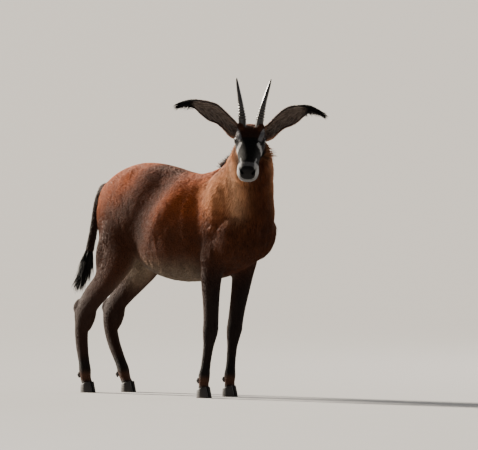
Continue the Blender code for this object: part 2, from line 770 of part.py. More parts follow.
def mouth_line():
    """Points on the muzzle from one corner of the mouth round the lips to the other."""
    rows = through(HEAD, 8)
    half = []
    for x, top, bottom, wide, width, above, below in rows:
        if x < MOUTH_BACK or MOUTH_LEVEL < bottom:
            continue
        share = (wide - MOUTH_LEVEL) / (wide - bottom)
        half.append((x, width * max(1 - share**below, 0.0) ** (1 / below), MOUTH_LEVEL))
    front = (HEAD[-1][0] + 0.001, 0.0, MOUTH_LEVEL)
    other = [(x, -y, z) for x, y, z in half[::-1]]
    return through([*half[::4], front, *other[::4]], 2)


def finish_head(head):
    """Lids, nostrils and the mouth's line, in the solid of the head."""
    frame = head_matrix()
    lids, hollows = [], []
    for sign in SIDES.values():
        lids.append(ball("lid", eye_matrix(sign) @ Matrix.Scale(LID_RADIUS, 4), EYE_SIDES))
        socket = eye_matrix(sign) @ Matrix.Scale(EYE_RADIUS + GAP, 4)
        hollows.append(ball("socket", socket, EYE_SIDES))
        hollows.append(eye_opening(sign))
        hollows.append(mass("nostril", NOSTRIL, sign, frame, 10))
    combine(head, lids, "UNION", "MANIFOLD")
    combine(head, hollows, "DIFFERENCE", "MANIFOLD")
    combine(head, [tube("lips", in_head(mouth_line()), MOUTH_RADIUS)], "DIFFERENCE", "MANIFOLD")


def add_eyes():
    eyes = []
    for side, sign in SIDES.items():
        place = eye_matrix(sign) @ Matrix.Scale(EYE_RADIUS, 4)
        eyes.append(ball("eye_" + side, place, EYE_SIDES, "Roan_antelope"))
    return eyes


def face_directions(sign):
    """Outward, up and backward beside the head."""
    turn = math.radians(HEAD_TURN)
    outward = np.array((-math.sin(turn), math.cos(turn), 0.0)) * sign
    backward = np.array((-math.cos(turn), -math.sin(turn), 0.0))
    return outward, np.array((0.0, 0.0, 1.0)), backward


def ear_rings(side, sign):
    """A cupped shell that opens forward, from a stout root to a thin tip."""
    outward, up, back = face_directions(sign)
    x, y, z = EAR_PLACE[side]
    place = in_head((x, y * sign, z))
    rows = np.array(EAR[side])
    line = np.array([place + r[0] * outward + r[1] * up + r[2] * back for r in rows])
    along = np.gradient(line, axis=0)
    rings = []
    for row, point, way in zip(rows, line, along):
        half, cup, thick = row[3:6]
        across = np.cross(way / np.linalg.norm(way), back)
        across /= np.linalg.norm(across)
        inner = half - 0.8 * min(thick, 0.4 * half)
        behind = [
            point + across * half * s + back * cup * (0.6 - s * s)
            for s in np.linspace(-1, 1, 9)
        ]
        before = [
            point + across * inner * s + back * (cup * (0.6 - s * s) - thick)
            for s in np.linspace(0.97, -0.97, 7)
        ]
        rings.append(np.array(behind + before))
    return rings


def horn_rings(sign):
    """A horn with ridged rings on its lower part and a smooth tip."""
    outward, up, back = face_directions(sign)
    lean = math.radians(HORN_LEAN) * sign
    c, s = math.cos(lean), math.sin(lean)
    up, outward = up * c + outward * s, outward * c - up * s
    place = in_head((HORN_PLACE[0], HORN_PLACE[1] * sign, HORN_PLACE[2]))
    rows = through(HORN, 12)
    low, high = RINGED_SPAN
    spans = [np.linspace(a, b, count, endpoint=False) for a, b, count in HORN_STEPS]
    rings = []
    for height in [*np.concatenate(spans), HORN[-1][0]]:
        out, rear, radius = (np.interp(height, rows[:, 0], rows[:, k]) for k in (1, 2, 3))
        share = (height - low) / (high - low)
        if 0 <= share <= 1:
            radius += RING_RELIEF * math.cos(2 * math.pi * HORN_RINGS * share) * (1 - 0.6 * share)
        centre = place + height * up + out * outward + rear * back
        deep = back * radius * HORN_DEPTH
        rings.append(ring(centre, outward * radius, deep, -deep, count=HORN_SIDES))
    return rings


def claw(name, x, y, sign):
    """One half of a cloven hoof, flat below and pointed in front."""
    rings = []
    for level, front, heel, width in CLAW:
        half = CLAW_WIDTH / 2 * width
        flat = ring((x, y, 0.0), (0, half, 0), (front, 0, 0), (-heel, 0, 0), 1.7, 2.4, CLAW_POINTS)
        flat[:, 1] -= sign * CLAW_CURVE * np.maximum(flat[:, 0] - x, 0)
        flat[:, 2] = level * (HOOF_TOP - GAP + HOOF_SLOPE * (flat[:, 0] - x))
        rings.append(flat)
    return loft(name, rings, "Roan_antelope")


def finish_leg(leg, joints, side_name):
    """Cuts the leg at the coronet and adds its two claws and two dewclaws."""
    x, y = joints[-1][0], joints[-1][1]
    drop = HOOF_SLOPE * 0.2
    outline = [(x - 0.2, -0.2), (x + 0.2, -0.2), (x + 0.2, HOOF_TOP + drop), (x - 0.2, HOOF_TOP - drop)]
    cutters = [prism("below", outline, Matrix(), y - 0.1, y + 0.1)]
    fetlock = joints[-2]
    for place, sign in (("inner", -math.copysign(1, y)), ("outer", math.copysign(1, y))):
        off = sign * (CLAW_WIDTH + CLAW_SPACE) / 2
        claw(f"hoof_{side_name}_{place}", x, y + off, sign)
        (dx, dy, dz), sizes = DEWCLAW
        centre = (fetlock[0] + dx, fetlock[1] + dy * sign, fetlock[2] + dz)
        spur_frame = Matrix.Translation(centre) @ Matrix.Diagonal((*sizes, 1))
        spur = ball(f"dewclaw_{side_name}_{place}", spur_frame, DEWCLAW_SIDES, "Roan_antelope")
        pocket = Matrix.Scale(1 + 1.5 * GAP / min(sizes), 4)
        cutters.append(ball(spur.name + "_pocket", spur_frame @ pocket, DEWCLAW_SIDES))
    combine(leg, cutters, "DIFFERENCE")
    keep_largest(leg)


def strand_rings(table, steps, count):
    """Round sections square to a hanging line."""
    rows = through(table, steps)
    along = np.gradient(rows[:, :3], axis=0)
    rings = []
    for row, way in zip(rows, along):
        axis = Vector(way).normalized()
        side = Vector((0, 1, 0))
        fore = side.cross(axis).normalized()
        wide, deep = np.array(side) * row[4], np.array(fore) * row[3]
        rings.append(ring(row[:3], wide, deep, -deep, count=count))
    return rings


def add_tail(torso):
    """The tail, let into the rump, with its tuft below it."""
    dock = strand_rings(TAIL, 3, TAIL_SIDES)
    loft("tail", dock, "Roan_antelope")
    combine(torso, [loft("root", swollen(dock))], "DIFFERENCE")
    tuft = strand_rings(TAIL_CORE, 2, TAIL_SIDES)
    end = dock[-1] - dock[-2]
    tuft[0] = dock[-1] + end / np.linalg.norm(end, axis=1, keepdims=True) * GAP
    tail_locks(loft("tail_tuft", tuft, "Roan_antelope"), tuft)


COLOURS = {
    "torso": (0.190, 0.070, 0.028),
    "neck": (0.230, 0.090, 0.038),
    "head": (0.040, 0.022, 0.016),
    "ear": (0.110, 0.075, 0.055),
    "horn": (0.012, 0.011, 0.011),
    "eye": (0.010, 0.006, 0.004),
    "foreleg": (0.050, 0.024, 0.015),
    "hindleg": (0.085, 0.038, 0.020),
    "hoof": (0.018, 0.015, 0.013),
    "dewclaw": (0.018, 0.015, 0.013),
    "tail": (0.070, 0.032, 0.018),
    "tail_tuft": (0.014, 0.011, 0.010),
}
ROUGHNESS = {"eye": 0.08, "horn": 0.45, "hoof": 0.5, "dewclaw": 0.5}


def paint(thing):
    """A material of the piece's own."""
    longest_first = sorted(COLOURS, key=len, reverse=True)
    kind = next(key for key in longest_first if thing.name.startswith(key))
    made = bpy.data.materials.new(thing.name)
    made.use_nodes = True
    shader = made.node_tree.nodes["Principled BSDF"]
    shader.inputs["Base Color"].default_value = (*COLOURS[kind], 1)
    shader.inputs["Roughness"].default_value = ROUGHNESS.get(kind, 0.85)
    shader.inputs["Metallic"].default_value = 0.0
    thing.data.materials.clear()
    thing.data.materials.append(made)
    thing.data.shade_smooth()
    thing.data.set_sharp_from_angle(angle=math.radians(50))


def centre_on_ground():
    """Parents every piece to one empty, which puts the origin under the middle of the box."""
    root = bpy.data.objects.new("roan_antelope", None)
    bpy.data.collections["Roan_antelope"].objects.link(root)
    points = []
    for thing in bpy.data.collections["Roan_antelope"].objects:
        if thing == root:
            continue
        points += [vert.co.copy() for vert in thing.data.vertices]
        thing.parent = root
    low = [min(point[k] for point in points) for k in range(3)]
    high = [max(point[k] for point in points) for k in range(3)]
    root.location = (-(low[0] + high[0]) / 2, -(low[1] + high[1]) / 2, -low[2])


def main():
    clear_scene()
    nodes = part_flesh(whole_body())
    finish_head(nodes["head"])
    add_eyes()
    pockets = []
    for side, sign in SIDES.items():
        shell = ear_rings(side, sign)
        ear_tassel(loft("ear_" + side, shell, "Roan_antelope"), shell, sign)
        pockets.append(loft("ear_pocket", swollen(shell)))
        horn = horn_rings(sign)
        loft("horn_" + side, horn, "Roan_antelope")
        pockets.append(loft("horn_pocket", swollen(horn)))
        finish_leg(nodes["foreleg_" + side], FORE_JOINTS[side], "fore_" + side)
        finish_leg(nodes["hindleg_" + side], HIND_JOINTS[side], "hind_" + side)
    combine(nodes["head"], pockets, "DIFFERENCE", "MANIFOLD")
    add_tail(nodes["torso"])
    for name in ("head", "torso", "neck"):
        keep_largest(nodes[name])
    for thing in bpy.data.collections["Roan_antelope"].objects:
        paint(thing)
    centre_on_ground()


main()
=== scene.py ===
# %% [markdown]
# A young roan antelope, life size, as a museum would stand it. The solids of the part are
# loaded first and stay fixed. Everything below dresses them: one skin over the flesh, a coat of
# small tufts, a mane, a fringe on the throat, ears, horns, eyes, hooves and a tail.

# %% Load the frame
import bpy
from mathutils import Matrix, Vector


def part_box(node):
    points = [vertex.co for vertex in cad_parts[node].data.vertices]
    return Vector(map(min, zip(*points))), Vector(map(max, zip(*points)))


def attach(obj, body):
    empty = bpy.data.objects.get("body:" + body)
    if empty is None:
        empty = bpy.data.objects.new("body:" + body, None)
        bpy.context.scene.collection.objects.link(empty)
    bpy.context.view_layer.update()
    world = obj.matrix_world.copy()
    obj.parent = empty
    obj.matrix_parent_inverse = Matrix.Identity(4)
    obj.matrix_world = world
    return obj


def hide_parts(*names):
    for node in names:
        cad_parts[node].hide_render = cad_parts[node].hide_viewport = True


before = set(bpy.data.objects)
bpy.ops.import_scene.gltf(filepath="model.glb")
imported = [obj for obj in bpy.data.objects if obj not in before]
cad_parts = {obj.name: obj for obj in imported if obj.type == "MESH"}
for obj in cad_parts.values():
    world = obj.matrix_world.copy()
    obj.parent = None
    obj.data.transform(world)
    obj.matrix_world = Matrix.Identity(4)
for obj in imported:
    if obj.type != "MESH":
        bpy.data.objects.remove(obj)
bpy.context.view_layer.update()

# %% [markdown]
# The head looks to the animal's right and hangs a little, so its own frame is turned. X runs from
# the back of the skull to the nose, Y to the left and Z up. The solids stand with their box over
# the origin, and the tables below don't know that shift, so it is read from the two eyeballs: they
# are round, and their middle is a point of the head that both sides share.

# %% The head's frame and the shift to the solids
import math

import bmesh
import bpy
import numpy as np
from mathutils import Matrix, Vector
from mathutils.bvhtree import BVHTree
from mathutils.kdtree import KDTree

SIDES = {"right": -1.0, "left": 1.0}
HEAD_PLACE = (0.607, -0.012, 1.288)
HEAD_TURN = -47.0
HEAD_DROP = 38.0
HEAD_LEAN = -2.5
EYE_PLACE = (0.122, 0.0545, 0.014)

head_matrix = Matrix.Translation(HEAD_PLACE)
for angle, axis in ((HEAD_TURN, "Z"), (HEAD_DROP, "Y"), (HEAD_LEAN, "X")):
    head_matrix = head_matrix @ Matrix.Rotation(math.radians(angle), 4, axis)
head_array = np.array(head_matrix)


def soft(value, low, high):
    """0 at low and 1 at high, with a smooth step between; low may be the larger number."""
    share = np.clip((np.asarray(value, float) - low) / (high - low), 0, 1)
    return share * share * (3 - 2 * share)


def in_head(points):
    """Points of the head's frame in the animal's frame."""
    return np.asarray(points, float) @ head_array[:3, :3].T + head_array[:3, 3]


def to_head(points):
    """Points of the animal's frame in the head's frame."""
    return (np.asarray(points, float) - head_array[:3, 3]) @ head_array[:3, :3]


def on_head(points, start=-0.03, end=0.0):
    """1 on the head and 0 on the rest, with a soft step from start to end behind the skull."""
    x, y, z = to_head(points).T
    return soft(x, start, end) * soft(z, -0.152, -0.128) * soft(np.abs(y), 0.16, 0.11)


eye_boxes = [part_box("eye_" + side) for side in SIDES]
eye_middle = np.mean([(np.array(low) + high) / 2 for low, high in eye_boxes], axis=0)
shift = eye_middle - in_head((EYE_PLACE[0], 0.0, EYE_PLACE[2]))
shift[2] = 0.0
print("shift", shift.round(5))

# %% [markdown]
# A body is easiest to describe by its outlines at a few places, as a taxidermist cuts boards for
# a mannequin. A smooth curve through the rows fills in between, and each row becomes a ring that
# is rounder or squarer above and below its widest level.

# %% Curves and rings
RING_POINTS = 28


def unit(ways):
    """The ways at length 1."""
    ways = np.asarray(ways, float)
    return ways / np.maximum(np.linalg.norm(ways, axis=-1, keepdims=True), 1e-9)


def through(table, steps):
    """Rows on a smooth curve through the table's rows, with this many steps in each span."""
    rows = np.array(table, float)
    padded = np.vstack([2 * rows[0] - rows[1], rows, 2 * rows[-1] - rows[-2]])
    made = []
    for i in range(len(rows) - 1):
        a, b, c, d = padded[i : i + 4]
        for t in np.arange(steps) / steps:
            curve = 2 * b + (c - a) * t + (2 * a - 5 * b + 4 * c - d) * t**2
            made.append(0.5 * (curve + (3 * b - a - 3 * c + d) * t**3))
    made.append(rows[-1])
    return np.array(made)


def ring(centre, side, up, down, above=2.0, below=2.0, count=RING_POINTS):
    """A rounded outline that reaches side, up and down from its centre."""
    turns = np.arange(count) * 2 * math.pi / count
    c, s = np.cos(turns)[:, None], np.sin(turns)[:, None]
    across = np.sign(c) * np.abs(c) ** np.where(s >= 0, 2 / above, 2 / below)
    tall = np.abs(s) ** np.where(s >= 0, 2 / above, 2 / below)
    return np.array(centre) + np.array(side) * across + np.where(s >= 0, up, down) * tall


# %% [markdown]
# The trunk has a level belly, a hollow back and a high croup. The neck rises to the turned head
# and is deep at its base. The skull is narrow and long, with a blunt muzzle.

# %% Trunk, neck and head
# Trunk and head sections: x, top, bottom, widest level, half width, roundness above and below
TRUNK = [
    (-0.438, 0.940, 0.820, 0.875, 0.026, 2.0, 2.0),
    (-0.425, 0.980, 0.778, 0.870, 0.056, 2.0, 2.0),
    (-0.390, 1.022, 0.732, 0.864, 0.090, 2.0, 2.1),
    (-0.340, 1.052, 0.705, 0.862, 0.122, 1.9, 2.2),
    (-0.280, 1.080, 0.708, 0.862, 0.146, 1.9, 2.2),
    (-0.200, 1.104, 0.692, 0.855, 0.162, 1.9, 2.2),
    (-0.120, 1.114, 0.638, 0.840, 0.171, 1.9, 2.2),
    (-0.030, 1.110, 0.578, 0.820, 0.181, 2.0, 2.2),
    (0.070, 1.095, 0.553, 0.800, 0.186, 2.0, 2.2),
    (0.160, 1.076, 0.545, 0.790, 0.181, 2.0, 2.2),
    (0.250, 1.066, 0.549, 0.785, 0.169, 1.9, 2.2),
    (0.330, 1.078, 0.558, 0.785, 0.156, 1.8, 2.2),
    (0.400, 1.096, 0.570, 0.790, 0.148, 1.7, 2.2),
    (0.470, 1.078, 0.594, 0.795, 0.140, 1.8, 2.2),
    (0.530, 1.040, 0.618, 0.795, 0.140, 2.0, 2.2),
    (0.590, 0.980, 0.645, 0.795, 0.132, 2.0, 2.1),
    (0.640, 0.920, 0.688, 0.800, 0.110, 2.0, 2.0),
    (0.674, 0.870, 0.745, 0.805, 0.062, 2.0, 2.0),
]
# Neck sections: crest x, y, z, throat x, y, z, half width, turn of the side line in degrees
NECK = [
    (0.330, 0.000, 1.040, 0.540, 0.000, 0.660, 0.132, 0.0),
    (0.420, 0.000, 1.092, 0.664, 0.000, 0.790, 0.136, -3.0),
    (0.488, -0.004, 1.142, 0.690, -0.012, 0.900, 0.112, -10.0),
    (0.545, -0.012, 1.194, 0.700, -0.032, 1.000, 0.096, -20.0),
    (0.583, -0.020, 1.232, 0.704, -0.056, 1.080, 0.085, -32.0),
    (0.602, -0.020, 1.256, 0.700, -0.080, 1.135, 0.074, -42.0),
]
HEAD = [
    (-0.030, 0.002, -0.066, -0.024, 0.038, 2.0, 2.0),
    (-0.010, 0.016, -0.098, -0.020, 0.054, 2.1, 2.0),
    (0.020, 0.030, -0.118, -0.012, 0.064, 2.3, 2.0),
    (0.055, 0.044, -0.124, 0.002, 0.069, 2.5, 1.9),
    (0.090, 0.050, -0.122, 0.010, 0.073, 2.6, 1.8),
    (0.125, 0.050, -0.116, 0.010, 0.072, 2.6, 1.7),
    (0.160, 0.047, -0.106, 0.000, 0.063, 2.6, 1.7),
    (0.195, 0.043, -0.092, -0.008, 0.054, 2.5, 1.8),
    (0.230, 0.039, -0.081, -0.012, 0.049, 2.4, 2.0),
    (0.265, 0.036, -0.075, -0.015, 0.049, 2.3, 2.2),
    (0.295, 0.033, -0.073, -0.018, 0.052, 2.3, 2.4),
    (0.320, 0.027, -0.069, -0.020, 0.051, 2.4, 2.4),
    (0.338, 0.018, -0.061, -0.020, 0.041, 2.4, 2.3),
    (0.347, 0.006, -0.044, -0.020, 0.024, 2.0, 2.0),
]


def upright_rings(table):
    """Rings that stand square to X, from rows of top, bottom and width."""
    made = []
    for x, top, bottom, wide, half, above, below in through(table, 4):
        made.append(ring((x, 0, wide), (0, half, 0), (0, 0, top - wide), (0, 0, bottom - wide), above, below))
    return made


def neck_rings():
    """Rings from the crest of the neck to the throat."""
    made = []
    for row in through(NECK, 5):
        crest, throat, turn = row[0:3], row[3:6], math.radians(row[7])
        side = np.array((-math.sin(turn), math.cos(turn), 0.0)) * row[6]
        reach = (crest - throat) / 2
        made.append(ring((crest + throat) / 2, side, reach, -reach, 2.1, 2.1))
    return made


forms = {
    "trunk": upright_rings(TRUNK),
    "neck": neck_rings(),
    "head": [in_head(points) for points in upright_rings(HEAD)],
}
print("rings", {name: len(rings) for name, rings in forms.items()})

# %% [markdown]
# Each leg stands in its own place, so its joints are listed for each side. One profile then serves
# both forelegs and another both hind legs: how far the leg reaches in front of the line through
# its joints, behind it and to each side.

# %% Legs
JOINTS = {
    "foreleg_right": [
        (0.478, -0.088, 0.790), (0.432, -0.104, 0.590), (0.420, -0.102, 0.330), (0.376, -0.100, 0.103),
        (0.372, -0.100, 0.030),
    ],
    "foreleg_left": [
        (0.474, 0.088, 0.790), (0.426, 0.104, 0.590), (0.369, 0.102, 0.330), (0.341, 0.100, 0.103),
        (0.339, 0.100, 0.030),
    ],
    "hindleg_right": [
        (-0.255, -0.070, 0.880), (-0.215, -0.098, 0.660), (-0.478, -0.094, 0.372), (-0.474, -0.092, 0.105),
        (-0.458, -0.090, 0.030),
    ],
    "hindleg_left": [
        (-0.255, 0.070, 0.880), (-0.215, 0.098, 0.660), (-0.488, 0.094, 0.372), (-0.402, 0.092, 0.105),
        (-0.366, 0.090, 0.030),
    ],
}
# Leg sections: place along the joints, reach forward, reach back, half width
LEG_PROFILE = {
    "foreleg": [
        (0.00, 0.060, 0.065, 0.036), (0.35, 0.080, 0.085, 0.052), (0.70, 0.074, 0.080, 0.053),
        (1.00, 0.060, 0.066, 0.046), (1.35, 0.050, 0.050, 0.039), (1.65, 0.044, 0.043, 0.035),
        (1.90, 0.042, 0.039, 0.035), (2.02, 0.043, 0.040, 0.036), (2.18, 0.035, 0.036, 0.031),
        (2.38, 0.026, 0.029, 0.024), (2.70, 0.024, 0.026, 0.023), (2.88, 0.026, 0.029, 0.026),
        (3.00, 0.028, 0.032, 0.028), (3.35, 0.024, 0.026, 0.026), (3.70, 0.027, 0.026, 0.028),
        (4.00, 0.031, 0.028, 0.030),
    ],
    "hindleg": [
        (0.00, 0.110, 0.105, 0.060), (0.35, 0.132, 0.120, 0.076), (0.70, 0.122, 0.137, 0.072),
        (1.00, 0.094, 0.118, 0.060), (1.25, 0.076, 0.090, 0.051), (1.50, 0.065, 0.067, 0.041),
        (1.75, 0.056, 0.058, 0.034), (1.92, 0.051, 0.056, 0.031), (2.08, 0.044, 0.050, 0.030),
        (2.25, 0.037, 0.044, 0.028), (2.50, 0.032, 0.040, 0.026), (2.80, 0.029, 0.034, 0.025),
        (3.00, 0.030, 0.036, 0.028), (3.35, 0.025, 0.029, 0.026), (3.70, 0.027, 0.027, 0.028),
        (4.00, 0.031, 0.028, 0.030),
    ],
}


def leg_rings(joints, profile):
    """Rings square to the line through the joints, sized by the profile."""
    line = through(joints, 20)
    places = np.arange(len(line)) / 20
    along = np.gradient(line, axis=0)
    made = []
    for row in through(profile, 4):
        centre = [np.interp(row[0], places, line[:, k]) for k in range(3)]
        axis = unit([np.interp(row[0], places, along[:, k]) for k in range(3)])
        side = unit(np.cross(axis, (1, 0, 0)))
        fore = unit(np.cross(side, axis))
        fore *= math.copysign(1, fore[0])
        made.append(ring(centre, side * row[3], fore * row[1], fore * -row[2]))
    return made


for leg, joints in JOINTS.items():
    forms[leg] = leg_rings(joints, LEG_PROFILE[leg.split("_")[0]])
print("forms", list(forms))

# %% [markdown]
# Shoulder, upper arm, buttock, the back of the thigh and the hock are added as rounded masses on
# both sides, and the horn bosses and brows in the head's frame. All of it is fused to one closed
# surface by a voxel remesh, and then relaxed: much over the trunk, where muscle flows into muscle,
# and little on the legs and the face, where bone lies close under the skin.

# %% One skin over the flesh
# Rounded masses: place, half sizes and tilt about Y in degrees
MASSES = {
    "shoulder": ((0.450, 0.086, 0.860), (0.105, 0.068, 0.210), 24.0),
    "upper_arm": ((0.552, 0.092, 0.772), (0.094, 0.064, 0.125), 26.0),
    "buttock": ((-0.312, 0.055, 0.820), (0.098, 0.064, 0.170), -12.0),
    "buttock_fold": ((-0.345, 0.052, 0.735), (0.065, 0.045, 0.110), 6.0),
    "hamstring": ((-0.322, 0.088, 0.680), (0.066, 0.046, 0.140), 14.0),
    "hock_point": ((-0.529, 0.093, 0.420), (0.019, 0.016, 0.042), 38.0),
    "hock_tendon": ((-0.462, 0.094, 0.482), (0.017, 0.013, 0.105), 41.0),
    "hock_back": ((-0.520, 0.093, 0.364), (0.026, 0.019, 0.080), -4.0),
    "hock_front": ((-0.442, 0.093, 0.362), (0.036, 0.022, 0.085), 25.0),
}
HEAD_MASSES = {
    "horn_boss": ((0.056, 0.044, 0.030), (0.034, 0.023, 0.044), 0.0),
    "brow": ((0.112, 0.052, 0.030), (0.034, 0.020, 0.020), 0.0),
}
VOXEL = 0.0069
LIMB_PASSES = 5
BODY_PASSES = 43
# Where the extra passes begin: above the legs, and on the neck only well behind the head
BODY_LEVEL = 0.50
BODY_FADE = 0.12
NECK_LEVEL = 1.0
HEAD_FADE = 0.06


def link(name, data):
    """A new object in the scene that holds the mesh, lamp or camera."""
    made = bpy.data.objects.new(name, data)
    bpy.context.scene.collection.objects.link(made)
    return made


def mesh_of(name, points, faces):
    """A mesh with its faces turned outward."""
    mesh = bpy.data.meshes.new(name)
    mesh.from_pydata(np.asarray(points).tolist(), [], faces)
    shape = bmesh.new()
    shape.from_mesh(mesh)
    bmesh.ops.recalc_face_normals(shape, faces=shape.faces)
    shape.to_mesh(mesh)
    shape.free()
    return mesh


def closed_form(rings):
    """Points and faces of a closed form through the rings."""
    count = len(rings[0])
    faces = [tuple(range(count))[::-1]]
    for i in range(len(rings) - 1):
        for j in range(count):
            k = (j + 1) % count
            faces.append((i * count + j, i * count + k, (i + 1) * count + k, (i + 1) * count + j))
    faces.append(tuple((len(rings) - 1) * count + j for j in range(count)))
    return np.vstack(rings), faces


def ball_mesh(matrix, segments=24):
    """A sphere of radius 1 under a matrix that gives its size and place."""
    mesh = bpy.data.meshes.new("ball")
    shape = bmesh.new()
    bmesh.ops.create_uvsphere(shape, u_segments=segments, v_segments=segments // 2, radius=1, matrix=matrix)
    shape.to_mesh(mesh)
    shape.free()
    return mesh


def mass_matrix(values, side, base=None):
    """The matrix of a rounded mass on one side."""
    (x, y, z), sizes, tilt = values
    place = Matrix.Translation((x, y * side, z)) @ Matrix.Rotation(math.radians(tilt), 4, "Y")
    return (base or Matrix()) @ place @ Matrix.Diagonal((*sizes, 1))


def apply_modifiers(thing):
    """Turns the thing's modifiers into its own mesh."""
    bpy.context.view_layer.update()
    graph = bpy.context.evaluated_depsgraph_get()
    mesh = bpy.data.meshes.new_from_object(thing.evaluated_get(graph), depsgraph=graph)
    thing.modifiers.clear()
    thing.data = mesh


def read_rows(rows, name="co"):
    """One vector for each of a mesh's points or normals, as an array."""
    flat = np.empty(3 * len(rows), np.float32)
    rows.foreach_get(name, flat)
    return flat.reshape(-1, 3).astype(float)


def fused_flesh():
    """Every form and mass as one relaxed surface."""
    whole = bmesh.new()
    parts = [mesh_of("form", *closed_form(rings)) for rings in forms.values()]
    for side in SIDES.values():
        parts += [ball_mesh(mass_matrix(values, side)) for values in MASSES.values()]
        parts += [ball_mesh(mass_matrix(values, side, head_matrix)) for values in HEAD_MASSES.values()]
    for part in parts:
        whole.from_mesh(part)
        bpy.data.meshes.remove(part)
    mesh = bpy.data.meshes.new("skin")
    whole.to_mesh(mesh)
    whole.free()
    skin = link("skin", mesh)
    fuse = skin.modifiers.new("fuse", "REMESH")
    fuse.mode = "VOXEL"
    fuse.voxel_size = VOXEL
    apply_modifiers(skin)
    points = read_rows(skin.data.vertices)
    share = np.clip((points[:, 2] - BODY_LEVEL) / BODY_FADE, 0, 1)
    behind_head = np.clip(-to_head(points)[:, 0] / HEAD_FADE - 0.33, 0, 1)
    share = np.where(points[:, 2] > NECK_LEVEL, share * behind_head, share)
    trunk = skin.vertex_groups.new(name="trunk and thighs")
    for index, weight in enumerate(share.tolist()):
        trunk.add([index], weight, "REPLACE")
    for passes, group in ((LIMB_PASSES, ""), (BODY_PASSES, trunk.name)):
        settle = skin.modifiers.new("settle", "SMOOTH")
        settle.iterations = passes
        settle.factor = 0.5
        settle.vertex_group = group
    apply_modifiers(skin)
    skin.vertex_groups.clear()
    return skin


skin = fused_flesh()
print("skin faces", len(skin.data.polygons))

# %% [markdown]
# The solids show where the outside of the coat is, so the bare skin lies deeper: by as much as the
# hair stands up there. The face gets smaller faces before its lids and nostrils are cut.

# %% Coat depth and a finer face
FACE_FROM = -0.02
NECK_DEPTH = 0.0055
BODY_DEPTH = 0.0032
LEG_DEPTH = 0.0016
HEAD_DEPTH = 0.0008
# Hollows and swellings of the flanks: a line in X and Z, how far it reaches, how high it stands
RELIEF = [
    ([(0.08, 1.01), (0.045, 0.95), (0.0, 0.87), (-0.06, 0.75)], 0.125, -0.022),
    ([(0.21, 0.98), (0.185, 0.94), (0.135, 0.87), (0.085, 0.79)], 0.080, 0.007),
    ([(-0.22, 0.93), (-0.22, 0.80)], 0.110, 0.007),
    ([(-0.16, 1.06), (-0.19, 1.03)], 0.045, 0.006),
    ([(0.18, 0.93), (0.15, 0.72)], 0.120, 0.004),
    ([(0.335, 0.98), (0.345, 0.86), (0.365, 0.74)], 0.070, -0.011),
    ([(0.43, 1.03), (0.49, 0.88), (0.47, 0.80)], 0.055, 0.004),
    ([(0.40, 0.72), (0.41, 0.66)], 0.045, 0.004),
]


def coat_depth(points):
    """How deep the skin lies under the outside of the coat."""
    neck = soft(points[:, 2], 0.86, 1.00) * soft(points[:, 0], 0.42, 0.56)
    depth = LEG_DEPTH + (BODY_DEPTH - LEG_DEPTH) * soft(points[:, 2], 0.45, 0.66)
    depth = depth + (NECK_DEPTH - depth) * neck
    return depth + (HEAD_DEPTH - depth) * on_head(points, -0.03, 0.05)


def line_gap(points, line):
    """How far each point is from a line of points."""
    best = np.full(len(points), 9.0)
    for start, end in zip(np.array(line[:-1]), np.array(line[1:])):
        way = end - start
        share = np.clip((points - start) @ way / (way @ way), 0, 1)[:, None]
        best = np.minimum(best, np.linalg.norm(points - start - share * way, axis=1))
    return best


def muscle_relief(points):
    """How far muscles and hollows stand out from the plain forms, on both sides alike."""
    flat = points[:, [0, 2]]
    rise = np.zeros(len(points))
    for line, reach, height in RELIEF:
        rise += height * soft(line_gap(flat, line), reach, 0.0)
    return rise * soft(np.abs(points[:, 1]), 0.03, 0.08)


def sink_skin(skin):
    """Shapes the muscles, moves the skin in by the coat's depth and refines the face."""
    points = read_rows(skin.data.vertices)
    rise = muscle_relief(points) - coat_depth(points)
    points += read_rows(skin.data.vertex_normals, "vector") * rise[:, None]
    skin.data.vertices.foreach_set("co", points.ravel())
    shape = bmesh.new()
    shape.from_mesh(skin.data)
    on_face = on_head(points, FACE_FROM, 0.0) > 0.5
    edges = [edge for edge in shape.edges if all(on_face[vert.index] for vert in edge.verts)]
    bmesh.ops.subdivide_edges(shape, edges=edges, cuts=1, smooth=0.6, use_grid_fill=True)
    bmesh.ops.triangulate(shape, faces=[face for face in shape.faces if len(face.verts) > 4])
    shape.to_mesh(skin.data)
    shape.free()


sink_skin(skin)
print("skin faces with a finer face", len(skin.data.polygons))

# %% [markdown]
# An eye needs lids that hug the ball. They are made as a slightly larger ball joined to the face,
# hollowed for the eyeball and opened by an almond shape. Each nostril is cut by a row of slanting
# ovals, the mouth as a groove, and the legs end at a sloping cut where the hoof starts.

# %% Lids, nostrils, mouth and coronets
EYE_RADIUS = 0.0190
LID_RADIUS = 0.0224
EYE_AIM = (0.34, 1.0, 0.02)
EYE_OPENING = (0.0182, 0.0112)
LID_SEGMENTS = 48
NOSTRILS = [
    ((0.3360, 0.0235, -0.0040), (0.0130, 0.0080, 0.0085), 0.0),
    ((0.3345, 0.0265, -0.0005), (0.0125, 0.0083, 0.0075), 10.0),
    ((0.3320, 0.0295, 0.0032), (0.0120, 0.0085, 0.0062), 20.0),
    ((0.3285, 0.0325, 0.0062), (0.0115, 0.0083, 0.0052), 25.0),
    ((0.3250, 0.0355, 0.0088), (0.0110, 0.0080, 0.0042), 30.0),
]
MOUTH_LEVEL = -0.0400
MOUTH_BACK = 0.240
HOOF_TOP = 0.046
HOOF_SLOPE = 0.30
BLOCK = 0.2


def combine(thing, meshes, operation):
    """Joins the meshes to the thing or cuts it by them."""
    for mesh in meshes:
        other = link("tool", mesh)
        step = thing.modifiers.new("step", "BOOLEAN")
        step.operation = operation
        step.solver = "MANIFOLD"
        step.object = other
        apply_modifiers(thing)
        bpy.data.objects.remove(other)


